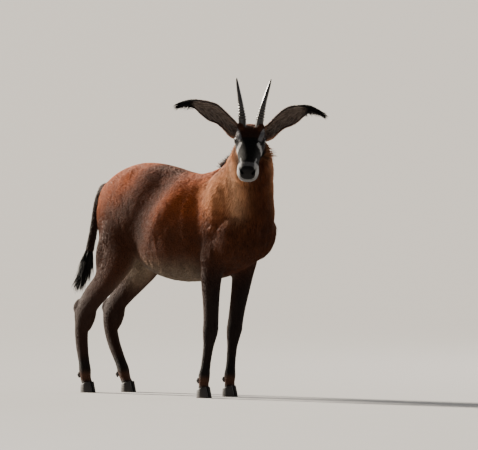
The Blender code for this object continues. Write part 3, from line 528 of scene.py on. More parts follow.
def eye_matrix(sign):
    """The eye's frame: its centre, with Z looking out through the lids and Y up."""
    place = Vector((EYE_PLACE[0], EYE_PLACE[1] * sign, EYE_PLACE[2]))
    aim = Vector((EYE_AIM[0], EYE_AIM[1] * sign, EYE_AIM[2]))
    return head_matrix @ Matrix.Translation(place) @ aim.to_track_quat("Z", "Y").to_matrix().to_4x4()


def almond(scale=1.0, count=LID_SEGMENTS):
    """The opening between the lids, flat, in the eye's frame."""
    turns = np.arange(count) * 2 * math.pi / count
    tall = np.sin(turns)
    tall = EYE_OPENING[1] * np.sign(tall) * np.abs(tall) ** 1.5
    return np.stack([EYE_OPENING[0] * np.cos(turns), tall], 1) * scale


def under(matrix, points):
    """Points moved by a matrix."""
    whole = np.array(matrix)
    return np.asarray(points, float) @ whole[:3, :3].T + whole[:3, 3]


def eye_opening(sign):
    """A cutter from the middle of the eye out through the lids."""
    rings = []
    for depth, scale in ((0.006, 0.75), (0.030, 1.15)):
        flat = almond(scale)
        rings.append(under(eye_matrix(sign), np.column_stack([flat, np.full(len(flat), depth)])))
    return mesh_of("opening", *closed_form(rings))


def tube_rings(points, radius, sides=10):
    """Round rings along a line of points; the radius may change along it."""
    points = np.asarray(points, float)
    along = unit(np.gradient(points, axis=0))
    radius = np.broadcast_to(radius, len(points))
    rings = []
    for point, way, size in zip(points, along, radius):
        side = unit(np.cross(way, (0.1, 0.2, 1.0)))
        up = np.cross(side, way)
        rings.append(ring(point, side * size, up * size, -up * size, count=sides))
    return rings


def mouth_line():
    """Points on the muzzle from one corner of the mouth round the lips to the other."""
    half = []
    for x, top, bottom, wide, width, above, below in through(HEAD, 8):
        if x < MOUTH_BACK or MOUTH_LEVEL < bottom:
            continue
        share = (wide - MOUTH_LEVEL) / (wide - bottom)
        half.append((x, width * max(1 - share**below, 0.0) ** (1 / below), MOUTH_LEVEL))
    front = (HEAD[-1][0] + 0.001, 0.0, MOUTH_LEVEL)
    other = [(x, -y, z) for x, y, z in half[::-1]]
    return in_head(through([*half[::4], front, *other[::4]], 3))


def below_coronet(joints):
    """A block that takes off the leg below the sloping top of the hoof."""
    x, y = joints[-1][:2]
    rear, front, drop = x - BLOCK, x + BLOCK, HOOF_SLOPE * BLOCK
    outline = [(rear, -BLOCK), (front, -BLOCK), (front, HOOF_TOP + drop), (rear, HOOF_TOP - drop)]
    rings = [np.array([(px, py, pz) for px, pz in outline]) for py in (y - BLOCK / 2, y + BLOCK / 2)]
    return mesh_of("below", *closed_form(rings))


for sign in SIDES.values():
    socket = eye_matrix(sign) @ Matrix.Scale(EYE_RADIUS + 0.0001, 4)
    combine(skin, [ball_mesh(eye_matrix(sign) @ Matrix.Scale(LID_RADIUS, 4), LID_SEGMENTS)], "UNION")
    combine(skin, [ball_mesh(socket, LID_SEGMENTS), eye_opening(sign)], "DIFFERENCE")
    combine(skin, [ball_mesh(mass_matrix(values, sign, head_matrix)) for values in NOSTRILS], "DIFFERENCE")
lips = mouth_line()
groove = np.interp(np.linspace(0, 1, len(lips)), (0, 0.12, 0.88, 1), (0.0012, 0.0030, 0.0030, 0.0012))
combine(skin, [mesh_of("lips", *closed_form(tube_rings(lips, groove)))], "DIFFERENCE")
combine(skin, [below_coronet(joints) for joints in JOINTS.values()], "DIFFERENCE")
print("skin faces with lids, nostrils and mouth", len(skin.data.polygons))

# %% [markdown]
# Colour, hair length and the way the hair lies all depend on where a point is on the animal. The
# rings already know that: a search tree over their points tells for any place which form it belongs
# to, how far along that form it is and how far round. The same two numbers unroll the form flat,
# which gives each tuft its place on the baked picture.

# %% A map of the animal
FORM_NAMES = list(forms)
BACK_SLOPE = 0.75
SHOULDER_SLOPE = 1.7


def form_map():
    """The rings' points with their form, share along, share round, and the ways along and round."""
    rows = []
    for number, name in enumerate(FORM_NAMES):
        grid = np.array(forms[name])
        along = np.gradient(grid, axis=0)
        around = (np.roll(grid, -1, axis=1) - np.roll(grid, 1, axis=1)) / 2
        steps, count = grid.shape[:2]
        i, j = np.meshgrid(np.arange(steps), np.arange(count), indexing="ij")
        facts = [np.full(i.shape, number), i / (steps - 1), j / count, np.full(i.shape, 1 / (steps - 1)),
                 np.full(i.shape, 1 / count)]
        rows.append(np.concatenate([grid, along, around, np.stack(facts, -1)], -1).reshape(-1, 14))
    return np.vstack(rows)


ring_map = form_map()
ring_tree = KDTree(len(ring_map))
for index, point in enumerate(ring_map[:, :3].tolist()):
    ring_tree.insert(point, index)
ring_tree.balance()


def where_on(points):
    """For each point: its form's number, share along, share round, and the way along the form."""
    nearest = ring_map[[ring_tree.find(point)[1] for point in points.tolist()]]
    off = points - nearest[:, :3]
    shares = []
    for at, share, step in ((3, 10, 12), (6, 11, 13)):
        way = nearest[:, at : at + 3]
        part = np.sum(off * way, axis=1) / np.maximum(np.sum(way * way, axis=1), 1e-9)
        shares.append(nearest[:, share] + np.clip(part, -0.6, 0.6) * nearest[:, step])
    return nearest[:, 9].astype(int), np.clip(shares[0], 0, 1), shares[1] % 1.0, unit(nearest[:, 3:6])


def lie_at(points, form, along):
    """The way the hair lies: to the tail on the trunk, down the legs, back from the nose."""
    slope = BACK_SLOPE + (SHOULDER_SLOPE - BACK_SLOPE) * soft(points[:, 0], 0.22, 0.42)
    slope = slope + 6 * soft(points[:, 0], 0.52, 0.66)
    lies = np.column_stack([-np.ones(len(points)), np.zeros(len(points)), -slope])
    neck = -along + np.array((0.0, 0.0, -0.25))
    lies = np.where((form == 1)[:, None], neck, unit(lies))
    lies = np.where((form == 2)[:, None], -along, lies)
    return unit(np.where((form > 2)[:, None], along, lies))


def with_neighbours(mesh, values):
    """Each point's values with those of its neighbours added."""
    edges = np.empty(2 * len(mesh.edges), int)
    mesh.edges.foreach_get("vertices", edges)
    first, second = edges.reshape(-1, 2).T
    total = values.copy()
    for k in range(3):
        total[:, k] += np.bincount(first, values[second, k], len(values))
        total[:, k] += np.bincount(second, values[first, k], len(values))
    return total


def square_to(ways, others):
    """The ways turned square to the others, at length 1."""
    return unit(ways - others * np.sum(ways * others, axis=1, keepdims=True))


def settle_lies(mesh, lies, passes=60):
    """The lies averaged over neighbouring points and laid flat on the skin."""
    normals = read_rows(mesh.vertex_normals, "vector")
    for _ in range(passes):
        lies = square_to(with_neighbours(mesh, lies), normals)
    return lies


skin_points = read_rows(skin.data.vertices)
skin_form, _, skin_round, way_along = where_on(skin_points)
skin_lies = settle_lies(skin.data, lie_at(skin_points, skin_form, way_along))
print("points on each form", dict(zip(FORM_NAMES, np.bincount(skin_form).tolist())))

# %% [markdown]
# The coat is red-brown above. Painted shade darkens it lower down, a painted shadow lies as a dark
# band across the flank's hollow, and brown over the thigh and loin is partly a darker coat and partly
# painted shade. A straw-pale streak on each side of the neck is paler hair brightened into a painted
# highlight, and the rear edge of the buttocks carries a painted highlight. The belly is paler and the
# legs are dark. The face wears a black mask with white marks beside the eyes, a white streak above
# the nostril and a white ring round a bare black nose, with a painted sheen across the muzzle above
# the pad and painted shade on the ring's lower side and the chin. The marks are lines with a width,
# and each tint is laid over those before it, as a painter glazes a cast. Skin and tufts are coloured
# by this one function, so they always agree.

# %% Colours and marks
chance = np.random.default_rng(23)
noise_table = chance.random((32, 32, 32))
RUST = (0.210, 0.052, 0.015)
BROWN = (0.044, 0.015, 0.007)
DARK = (0.021, 0.010, 0.007)
BLACK = (0.007, 0.006, 0.006)
PALE = (0.130, 0.095, 0.068)
WHITE = (0.370, 0.365, 0.365)
GREY = (0.170, 0.165, 0.170)
PEACH = (0.460, 0.210, 0.100)
PASTERN = (0.055, 0.024, 0.014)
STRAW = (0.800, 0.460, 0.270)
FLANK_SHADOW = [(0.08, 1.06), (0.01, 0.97), (-0.05, 0.87), (-0.11, 0.77)]
NECK_HIGHLIGHT = [(0.575, 0.108, 1.120), (0.603, 0.112, 1.020), (0.615, 0.111, 0.940), (0.622, 0.109, 0.890)]
EYE_MARKS = [
    (GREY, [(0.077, 0.060, 0.036), (0.120, 0.054, 0.043), (0.146, 0.049, 0.041)]),
    (WHITE, [(0.178, 0.043, 0.033), (0.187, 0.053, 0.008), (0.176, 0.058, -0.026)]),
]
EYE_MASK = [(0.085, 0.07, 0.0), (0.130, 0.07, 0.005), (0.150, 0.062, -0.02)]
NOSE_STREAK = [(0.262, 0.039, 0.019), (0.301, 0.032, 0.024)]


def cloud(points, size):
    """Soft random values from 0 to 1 that change over about this size."""
    place = np.asarray(points, float) / size
    low = np.floor(place).astype(int)
    part = place - low
    part = part * part * (3 - 2 * part)
    total = np.zeros(len(place))
    for corner in np.ndindex(2, 2, 2):
        at = (low + corner) % 32
        weight = np.prod(np.where(corner, part, 1 - part), axis=1)
        total += weight * noise_table[at[:, 0], at[:, 1], at[:, 2]]
    return total


def over(colour, tint, share):
    """The colour with a tint laid over it by a share."""
    return colour + (np.array(tint) - colour) * share[:, None]


def layered(colour, layers):
    """The colour with one tint after another laid over it, each by its share."""
    for tint, share in layers:
        colour = over(colour, tint, share)
    return colour


def nose_share(points):
    """1 on the bare pad of the nose, 0 on the haired muzzle."""
    x, y, z = to_head(points).T
    level = (z + 0.006) / 0.031
    oval = (np.abs(y) / 0.036) ** 2.6 + np.abs(level) ** 2.6
    return soft(oval, 1.10, 0.92) * soft(x, 0.295, 0.300)


def lip_share(points, outer=0.0036, inner=0.0020):
    """1 along the line of the mouth."""
    return soft(line_gap(points, mouth_line()), outer, inner)


def face_colour(points, colour):
    """The mask and marks of the face."""
    x, y, z = to_head(points).T
    side = np.abs(y)
    mirrored = np.column_stack([x, side, z])
    ragged = 0.004 * (cloud(points, 0.006) - 0.5)
    low_lip = soft(z, -0.018, -0.030)
    muzzle_ring = soft(x + 0.2 * side + ragged, 0.297, 0.304) * np.maximum(soft(side, 0.026, 0.034), low_lip)
    chin = soft(x, 0.272, 0.292) * soft(z, -0.040, -0.052)
    marks = [(tint, soft(line_gap(mirrored, line) + ragged, 0.0130, 0.0080)) for tint, line in EYE_MARKS]
    return layered(colour, [
        (BROWN, soft(x, -0.03, 0.03)),
        (DARK, 0.6 * soft(x, 0.07, 0.12) * soft(z, 0.01, 0.03)),
        (BLACK, soft(line_gap(mirrored, EYE_MASK), 0.036, 0.026)),
        (BLACK, soft(x, 0.128, 0.150) * soft(z, -0.070, -0.050)),
        (BROWN, soft(x, 0.20, 0.16) * soft(z, -0.040, -0.060)),
        *marks,
        (WHITE, 0.8 * soft(line_gap(mirrored, NOSE_STREAK) + ragged, 0.0052, 0.0022)),
        # Painted sheen: grey across the front of the muzzle above the bare nose pad
        (GREY, 0.45 * soft(x + ragged, 0.295, 0.303) * soft(z, 0.008, 0.016)),
        # Painted shade: the ring's white is dimmed on the lower lip, and the chin's white is laid at under
        # half strength
        (WHITE, np.maximum(muzzle_ring * (1 - 0.45 * low_lip), 0.45 * chin)),
        (BLACK, lip_share(points)),
        (BLACK, nose_share(points)),
    ])


def coat_colour(points, form, around):
    """The colour of the coat at each point."""
    x, y, z = points.T
    side = np.abs(y)
    front = np.sin(2 * math.pi * around)
    neck, fore, hind = form == 1, (form == 3) | (form == 4), form > 4
    streak = cloud(points * (0.5, 1, 1) + 0.4 * z[:, None], 0.030)
    shadow_gap = line_gap(points[:, [0, 2]], FLANK_SHADOW) + 0.03 * (streak - 0.5)
    neck_highlight_gap = line_gap(np.column_stack([x, side, z]), NECK_HIGHLIGHT)
    belly = soft(z + 0.02 * (cloud(points, 0.03) - 0.5), 0.690, 0.600) * soft(x, 0.44, 0.36)
    inner_thigh = soft(0.098 - side, 0.0, 0.028) * soft(z, 0.46, 0.58) * soft(z, 0.80, 0.72)
    colour = layered(np.tile(RUST, (len(points), 1)).astype(float), [
        # Painted shade: brown darkens the coat from the upper flank downward
        (BROWN, 0.90 * soft(z + 0.10 * (streak - 0.5), 0.98, 0.76)),
        # Painted shadow: a dark band across the flank's hollow, weaker on the left side
        (DARK, 0.80 * soft(shadow_gap, 0.145, 0.080) * ~neck * (1 - 0.4 * soft(y, 0.0, 0.1))),
        # Brown over the thigh and loin: partly the haunch's darker coat, partly painted shade
        (BROWN, 0.80 * soft(x, -0.32, -0.24) * soft(x, 0.0, -0.10) * soft(z, 1.04, 0.86)),
        (PEACH, 0.80 * neck * soft(np.abs(front), 0.98, 0.70) * soft(z, 0.80, 1.00)),
        (BROWN, 0.85 * neck * soft(front, -0.50, -0.95)),
        # Paler hair on each side of the neck, brightened into a painted highlight
        (STRAW, 0.80 * soft(neck_highlight_gap, 0.042, 0.008)),
        (BROWN, 0.68 * soft(x, 0.54, 0.66) * soft(z, 1.06, 0.86)),
        (PALE, belly * soft(x, -0.32, -0.18) * (form < 3)),
        (DARK, fore * soft(z, 0.72, 0.58)),
        (BLACK, 0.7 * fore * soft(z, 0.60, 0.48)),
        (BROWN, 0.8 * fore * soft(front, 0.1, -0.7) * soft(z, 0.10, 0.45)),
        (BROWN, hind * soft(z, 0.86, 0.66)),
        (DARK, 0.9 * hind * soft(z, 0.62, 0.40)),
        (np.array(PALE) * 1.6, hind * inner_thigh * soft(x, -0.345, -0.30)),
        (BLACK, 0.8 * (form > 2) * soft(z, 0.20, 0.14)),
        (PASTERN, (form > 2) * soft(z, 0.115, 0.085) * soft(z, 0.05, 0.065)),
        # Painted highlight: a peach sheen on the rear edge of both buttocks
        (PEACH, 0.6 * soft(x, -0.385, -0.415) * soft(side, 0.03, 0.06) * soft(z, 0.70, 0.84)),
    ])
    face = on_head(points) * (form == 2)
    return over(colour, (0, 0, 0), face) + face_colour(points, colour) * face[:, None]


def melt_colours(mesh, colours, passes=40):
    """The colours averaged over neighbouring points, but for the face and the lower legs."""
    change = ((skin_form != 2) * soft(skin_points[:, 2], 0.30, 0.50))[:, None]
    count = with_neighbours(mesh, np.ones_like(colours))
    for _ in range(passes):
        colours = colours + (with_neighbours(mesh, colours) / count - colours) * change
    return colours


skin_colour = melt_colours(skin.data, coat_colour(skin_points, skin_form, skin_round))
print("mean colour of the skin", skin_colour.mean(axis=0).round(3))

# %% [markdown]
# Every finish reads the colour that was worked out for each point and breaks it up with fine noise,
# because no hide is one flat colour. Hair is rough with a soft sheen along its edge, bare leather
# is smoother and pebbled, horn has growth lines, and an eye is wet.

# %% Finishes
def add_node(nodes, kind, values):
    """A new shader node with its sockets set."""
    made = nodes.new("ShaderNode" + kind)
    for name, value in values.items():
        made.inputs[name].default_value = value
    return made


def finish(name, roughness, noise=300.0, stretch=(1, 1, 1), depth=0.0004, vary=0.25, sheen=0.0, gloss=0.35,
           coat=0.0, bare=None):
    """A material from the point colours, fine noise and a bump; bare is the roughness of bare skin."""
    made = bpy.data.materials.new(name)
    made.use_nodes = True
    nodes, links = made.node_tree.nodes, made.node_tree.links
    shader = nodes["Principled BSDF"]
    tint = add_node(nodes, "VertexColor", {})
    tint.layer_name = "tint"
    place = add_node(nodes, "TexCoord", {})
    scale = add_node(nodes, "Mapping", {"Scale": stretch})
    grain = add_node(nodes, "TexNoise", {"Scale": noise, "Detail": 4.0})
    span = add_node(nodes, "MapRange", {"To Min": 1.0 - vary, "To Max": 1.0 + vary})
    blend = add_node(nodes, "Mix", {"Factor": 1.0})
    blend.data_type = "RGBA"
    blend.blend_type = "MULTIPLY"
    bump = add_node(nodes, "Bump", {"Distance": depth})
    wires = [
        (place.outputs["Object"], scale.inputs["Vector"]),
        (scale.outputs["Vector"], grain.inputs["Vector"]),
        (grain.outputs["Fac"], span.inputs["Value"]),
        (tint.outputs["Color"], blend.inputs[6]),
        (span.outputs["Result"], blend.inputs[7]),
        (blend.outputs[2], shader.inputs["Base Color"]),
        (grain.outputs["Fac"], bump.inputs["Height"]),
        (bump.outputs["Normal"], shader.inputs["Normal"]),
    ]
    looks = {
        "Roughness": roughness, "Specular IOR Level": gloss, "Sheen Weight": sheen, "Sheen Roughness": 0.4,
        "Coat Weight": coat, "Coat Roughness": 0.03,
    }
    for socket, value in looks.items():
        shader.inputs[socket].default_value = value
    if bare is not None:
        amount = add_node(nodes, "Attribute", {})
        amount.attribute_name = "bare"
        rough = add_node(nodes, "MapRange", {"To Min": roughness, "To Max": bare})
        wires.append((amount.outputs["Fac"], rough.inputs["Value"]))
        wires.append((rough.outputs["Result"], shader.inputs["Roughness"]))
    for start, end in wires:
        links.new(start, end)
    return made


hide_finish = finish("hide", 0.80, 420.0, (1, 1, 0.35), 0.0008, 0.30, 0.0, 0.10, bare=0.34)
coat_finish = finish("short_hair", 0.60, 260.0, (1, 1, 0.5), 0.0003, 0.30, 0.0, 0.05)
long_finish = finish("long_hair", 0.58, 180.0, (1, 1, 0.2), 0.0003, 0.30, 0.0, 0.06)
horn_finish = finish("ringed_horn", 0.34, 90.0, (1, 1, 0.25), 0.0008, 0.30, 0.0, 0.45)
hoof_finish = finish("hoof_wall", 0.50, 160.0, (1, 1, 0.12), 0.0006, 0.35, 0.0, 0.3)
eye_finish = finish("wet_eye", 0.10, 600.0, (1, 1, 1), 0.00002, 0.20, 0.0, 0.20, 0.25)
lid_finish = finish("lid_leather", 0.34, 700.0, (1, 1, 1), 0.0004, 0.25, 0.0, 0.5)


def paint(mesh, colours, name="tint"):
    """Writes a colour, or one number, for each point of the mesh."""
    if np.ndim(colours) == 1:
        layer = mesh.attributes.new(name, "FLOAT", "POINT")
        layer.data.foreach_set("value", np.asarray(colours, np.float32))
        return
    layer = mesh.attributes.new(name, "FLOAT_COLOR", "POINT")
    layer.data.foreach_set("color", np.column_stack([colours, np.ones(len(colours))]).ravel())


def finished(thing, material, colours=None):
    """Gives the thing its finish and point colours, sets it on the solids and lets it ride."""
    mesh = thing.data
    if colours is not None:
        paint(mesh, np.broadcast_to(np.asarray(colours, float), (len(mesh.vertices), 3)))
    mesh.materials.clear()
    mesh.materials.append(material)
    mesh.shade_smooth()
    mesh.transform(Matrix.Translation(shift))
    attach(thing, "root")


def dressed(name, mesh, node, material, colours):
    """A finished piece that takes the place of one solid."""
    piece = link(name, mesh)
    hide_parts(node)
    finished(piece, material, colours)


bare_share = np.maximum(nose_share(skin_points), lip_share(skin_points, 0.0045, 0.0035))
for sign in SIDES.values():
    gap = np.linalg.norm(skin_points - np.array(eye_matrix(sign).translation), axis=1)
    on_lid = soft(gap, LID_RADIUS + 0.0022, LID_RADIUS + 0.0004)
    bare_share = np.maximum(bare_share, on_lid)
    skin_colour = over(skin_colour, BLACK, on_lid)
paint(skin.data, bare_share, "bare")
skin.data.set_sharp_from_angle(angle=math.radians(60))
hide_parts("torso", "neck", "head", *JOINTS)
skin_normals = read_rows(skin.data.vertex_normals, "vector")
skin.data.calc_loop_triangles()
skin_triangles = np.empty(3 * len(skin.data.loop_triangles), int)
skin.data.loop_triangles.foreach_get("vertices", skin_triangles)
skin_triangles = skin_triangles.reshape(-1, 3)
# The cuts leave the faces in an order that can change from run to run, so it is fixed here
start = skin_triangles.argmin(axis=1)[:, None]
skin_triangles = np.take_along_axis(skin_triangles, (start + np.arange(3)) % 3, axis=1)
skin_triangles = skin_triangles[np.lexsort(skin_triangles.T)]
finished(skin, hide_finish, skin_colour * 0.8)
print("skin triangles", len(skin_triangles))

# %% [markdown]
# A tuft is a thin closed blade: three-cornered rings that taper to a point. Its root is sunk in the
# skin and its tip lifts a little, so each overlaps the next as slates do. Thousands are built at
# once with array arithmetic, since making them one by one would take minutes.

# %% A builder for tufts
PATCH = 0.003


def triangle_mesh(name, points, triangles):
    """A mesh of triangles, written whole."""
    mesh = bpy.data.meshes.new(name)
    mesh.vertices.add(len(points))
    mesh.vertices.foreach_set("co", np.asarray(points, np.float32).ravel())
    mesh.loops.add(3 * len(triangles))
    mesh.loops.foreach_set("vertex_index", np.asarray(triangles, np.int32).ravel())
    mesh.polygons.add(len(triangles))
    mesh.polygons.foreach_set("loop_start", np.arange(len(triangles), dtype=np.int32) * 3)
    mesh.update(calc_edges=True)
    mesh.validate()
    return mesh


def blade_triangles(steps):
    """The faces of one tuft with this many rings and a tip."""
    made = [(0, 1, 2)]
    for a in range(0, 3 * steps - 3, 3):
        b = a + 3
        for p, q, r, s in ((a, b, b + 1, a + 1), (a + 1, b + 1, b + 2, a + 2), (a + 2, b + 2, b, a)):
            made += [(p, q, r), (p, r, s)]
    last, tip = 3 * steps - 3, 3 * steps
    made += [(last, tip, last + 1), (last + 1, tip, last + 2), (last + 2, tip, last)]
    return np.array(made)


def add_tufts(name, roots, outs, lies, sizes, colours, places, material, steps=2, fall=0.0, tips=1.15):
    """Tufts from rows of root, way out, way of the lie, and length, width, thickness and lift."""
    length, width, thick, lift = (column[:, None] for column in np.asarray(sizes).T)
    across = unit(np.cross(lies, outs))
    count = len(roots)
    shares = np.linspace(0, 1, steps + 1)
    corners, shades, patches = [], [], []
    for i, share in enumerate(shares):
        bow = 1 - (1 - share) ** 2
        middle = roots + lies * length * share + outs * (lift * bow - thick * (1 - share))
        middle = middle - np.array((0, 0, 1.0)) * fall * length * share**2
        taper = (0.70 + 0.75 * share) if share < 0.4 else (1 - share) ** 0.65 * 1.35
        ring_rows = [middle] if i == steps else [
            middle - across * width * taper / 2,
            middle + across * width * taper / 2,
            middle + outs * thick * taper,
        ]
        for k, row in enumerate(ring_rows):
            corners.append(row)
            shades.append(colours * (0.72 + (tips - 0.72) * share))
            patches.append(places + PATCH * np.array((share - 0.5, (k - 1) / 2)))
    points = np.stack(corners, 1).reshape(-1, 3)
    tints = np.stack(shades, 1).reshape(-1, 3)
    spots = np.clip(np.stack(patches, 1).reshape(-1, 2), 0.001, 0.999)
    each = len(corners)
    triangles = (blade_triangles(steps)[None] + np.arange(count)[:, None, None] * each).reshape(-1, 3)
    mesh = triangle_mesh(name, points, triangles)
    layer = mesh.uv_layers.new(name="OFBake")
    layer.uv.foreach_set("vector", np.asarray(spots[triangles.ravel()], np.float32).ravel())
    thing = link(name, mesh)
    finished(thing, material, np.clip(tints, 0, 1))
    print(name, count, "tufts", len(triangles), "triangles")


def varied(row, count, low, high, each=True):
    """The row repeated, with chance changes to each of its values, or to each row as one."""
    return np.tile(row, (count, 1)) * chance.uniform(low, high, (count, len(row) if each else 1))


def on_sheet(along, around):
    """Places on the unrolled form for two shares from 0 to 1, clear of the sheet's edge."""
    return np.column_stack([0.02 + 0.96 * along, 0.02 + 0.96 * around])


# %% [markdown]
# The coat is short and sleek on the trunk, longer on the neck, chest, belly and buttocks, and tiny
# on the face and the feet. Roots are scattered over the skin's triangles, more where the hair is
# small. Each form has its own piece, and the trunk four, so none grows too heavy to bake.

# %% The short coat
def hair_sizes(points, form, around):
    """Length, width, thickness and lift of the tufts at each point."""
    x, y, z = points.T
    head_x, _, head_z = to_head(points).T
    front = np.sin(2 * math.pi * around)
    length, width, lift = np.repeat([[0.0165], [0.0031], [0.0016]], len(points), axis=1)
    trunk, neck, head, leg = form == 0, form == 1, form == 2, form > 2
    longer_hair = [
        (0.013, neck * 1.0),
        (0.026, neck * soft(front, 0.1, -0.7)),
        (0.012, trunk * soft(x, 0.48, 0.62)),
        (0.008, trunk * soft(z, 0.68, 0.62)),
        (0.005, soft(x, -0.33, -0.40) * soft(z, 0.66, 0.76)),
    ]
    for more, share in longer_hair:
        length = length + more * share
        lift = lift + more * 0.11 * share
    low = soft(z, 0.66, 0.42) * leg
    length, width, lift = length - 0.0075 * low, width - 0.0008 * low, lift - 0.0011 * low
    muzzle = soft(head_x, 0.18, 0.28)
    cheek = soft(head_z, -0.04, -0.09)
    length = np.where(head, 0.0095 - 0.0045 * muzzle + 0.006 * cheek, length)
    width = np.where(neck, 0.0025, width)
    width = np.where(head, 0.0022 - 0.0006 * muzzle, width)
    lift = np.where(head, 0.0008 + 0.0010 * cheek - 0.0003 * muzzle, lift)
    return np.column_stack([length, width, width * 0.30, lift])


DENSITY = {"trunk": 56000, "neck": 72000, "head": 120000, "foreleg": 46000, "hindleg": 40000}
COAT_LIMIT = 19500
TRUNK_MIDDLE = 0.10


def scatter(picked, wanted, limit=COAT_LIMIT):
    """Roots on the picked triangles: their points, ways out and lies."""
    corners = skin_points[skin_triangles[picked]]
    area = np.linalg.norm(np.cross(corners[:, 1] - corners[:, 0], corners[:, 2] - corners[:, 0]), axis=1) / 2
    weight = area * (1 - bare_share[skin_triangles[picked]].max(axis=1)).clip(0, 1)
    count = min(int(weight.sum() * wanted), limit)
    ladder = np.cumsum(weight)
    chosen = picked[np.searchsorted(ladder, chance.random(count) * ladder[-1])]
    a, b = chance.random((2, count))
    a, b = np.where(a + b > 1, 1 - a, a), np.where(a + b > 1, 1 - b, b)
    shares = np.stack([1 - a - b, a, b], 1)[:, :, None]
    rows = skin_triangles[chosen]
    facts = (skin_points, skin_normals, skin_lies, skin_colour)
    return [(values[rows] * shares).sum(axis=1) for values in facts]


def short_coat(name, form_number, side=None, front=None):
    """The tufts of one form, or of one side and end of it."""
    kind = FORM_NAMES[form_number].split("_")[0]
    first = skin_triangles[:, 0]
    on_form = skin_form[first] == form_number
    if side is not None:
        x, y = skin_points[first, :2].T
        on_form &= (np.sign(y) == side) & ((x > TRUNK_MIDDLE) == front)
    roots, outs, lies, colours = scatter(np.flatnonzero(on_form), DENSITY[kind])
    outs = unit(outs)
    lies = unit(lies + chance.normal(0, 0.10, lies.shape))
    lies = square_to(lies, outs)
    form, along, around, _ = where_on(roots)
    sizes = hair_sizes(roots, form, around)
    sizes *= chance.uniform(0.78, 1.22, sizes.shape)
    clumps = cloud(roots * (1, 1, 0.5), 0.020)
    sizes[:, 3] *= 0.5 + clumps
    if kind == "head":
        colours = coat_colour(roots, form, around)
    colours *= (chance.uniform(0.72, 1.28, len(roots)) * (0.70 + 0.6 * clumps))[:, None]
    add_tufts(name, roots, outs, lies, sizes, colours, on_sheet(along, around), coat_finish)


for side, sign in SIDES.items():
    short_coat("coat_ribs_" + side, 0, side=sign, front=True)
    short_coat("coat_rump_" + side, 0, side=sign, front=False)
short_coat("coat_neck", 1)
short_coat("coat_head", 2)
for number in range(3, 7):
    short_coat("coat_" + FORM_NAMES[number], number)

# %% [markdown]
# The horns are short, black and ringed below. The rings are folds with a steep upper side, so the
# radius follows a bent wave that fades upward, and the tip is smooth.

# %% Horns
HORN_PLACE = (0.052, 0.0420, 0.050)
# Horn sections: height above the root, outward, backward, radius
HORN = [
    (-0.026, -0.004, -0.004, 0.0175),
    (0.030, 0.000, 0.000, 0.0182),
    (0.075, 0.007, 0.000, 0.0148),
    (0.121, 0.016, 0.003, 0.0118),
    (0.176, 0.029, 0.011, 0.0082),
    (0.210, 0.037, 0.018, 0.0050),
    (0.224, 0.040, 0.021, 0.0022),
]
HORN_LEAN = 3.3
HORN_RINGS = 5
RINGED_SPAN = (0.030, 0.096)
RING_RELIEF = 0.0027
HORN_STEPS = 150
HORN_POINTS = 36
HORN_BLACK = (0.016, 0.013, 0.012)


def face_directions(sign):
    """Outward, up and backward beside the head."""
    turn = math.radians(HEAD_TURN)
    outward = np.array((-math.sin(turn), math.cos(turn), 0.0)) * sign
    backward = np.array((-math.cos(turn), -math.sin(turn), 0.0))
    return outward, np.array((0.0, 0.0, 1.0)), backward


def ring_wave(height):
    """From -1 to 1 over each ring of the horn, with a steep upper side, fading upward."""
    low, high = RINGED_SPAN
    share = (height - low) / (high - low)
    if not 0 <= share <= 1.3:
        return 0.0
    turn = HORN_RINGS * share
    return math.cos(2 * math.pi * (turn - 0.09 * math.sin(2 * math.pi * turn))) * max(1 - 0.7 * share, 0)


def horn(side, sign):
    """One horn with its rings."""
    outward, up, back = face_directions(sign)
    lean = math.radians(HORN_LEAN) * sign
    c, s = math.cos(lean), math.sin(lean)
    up, outward = up * c + outward * s, outward * c - up * s
    place = in_head((HORN_PLACE[0], HORN_PLACE[1] * sign, HORN_PLACE[2]))
    rows = through(HORN, 12)
    rings, tints = [], []
    for height in np.linspace(HORN[0][0], HORN[-1][0], HORN_STEPS):
        out, rear, radius = (np.interp(height, rows[:, 0], rows[:, k]) for k in (1, 2, 3))
        wave = ring_wave(height)
        radius += RING_RELIEF * wave
        deep = back * radius * 1.1
        middle = place + height * up + out * outward + rear * back
        rings.append(ring(middle, outward * radius, deep, -deep, count=HORN_POINTS))
        # Ring crests are lightened, partly the edges' own brown-grey and partly a painted glint; grooves are
        # darkened as painted shade
        tints.append(np.tile(np.array(HORN_BLACK) * (1.0 + 1.6 * max(wave, -0.5)), (HORN_POINTS, 1)))
    mesh = mesh_of("horn", *closed_form(rings))
    dressed(f"horn_{side}_ringed", mesh, "horn_" + side, horn_finish, np.vstack(tints))


for side, sign in SIDES.items():
    horn(side, sign)

# %% [markdown]
# The ears are long, cupped and open forward, with a black rim, a grey inside and a drooping black
# tip. The blade is one closed shell. Its outside gets short hair, its inside long pale hairs that
# run from the root outward, and the tip a tassel.

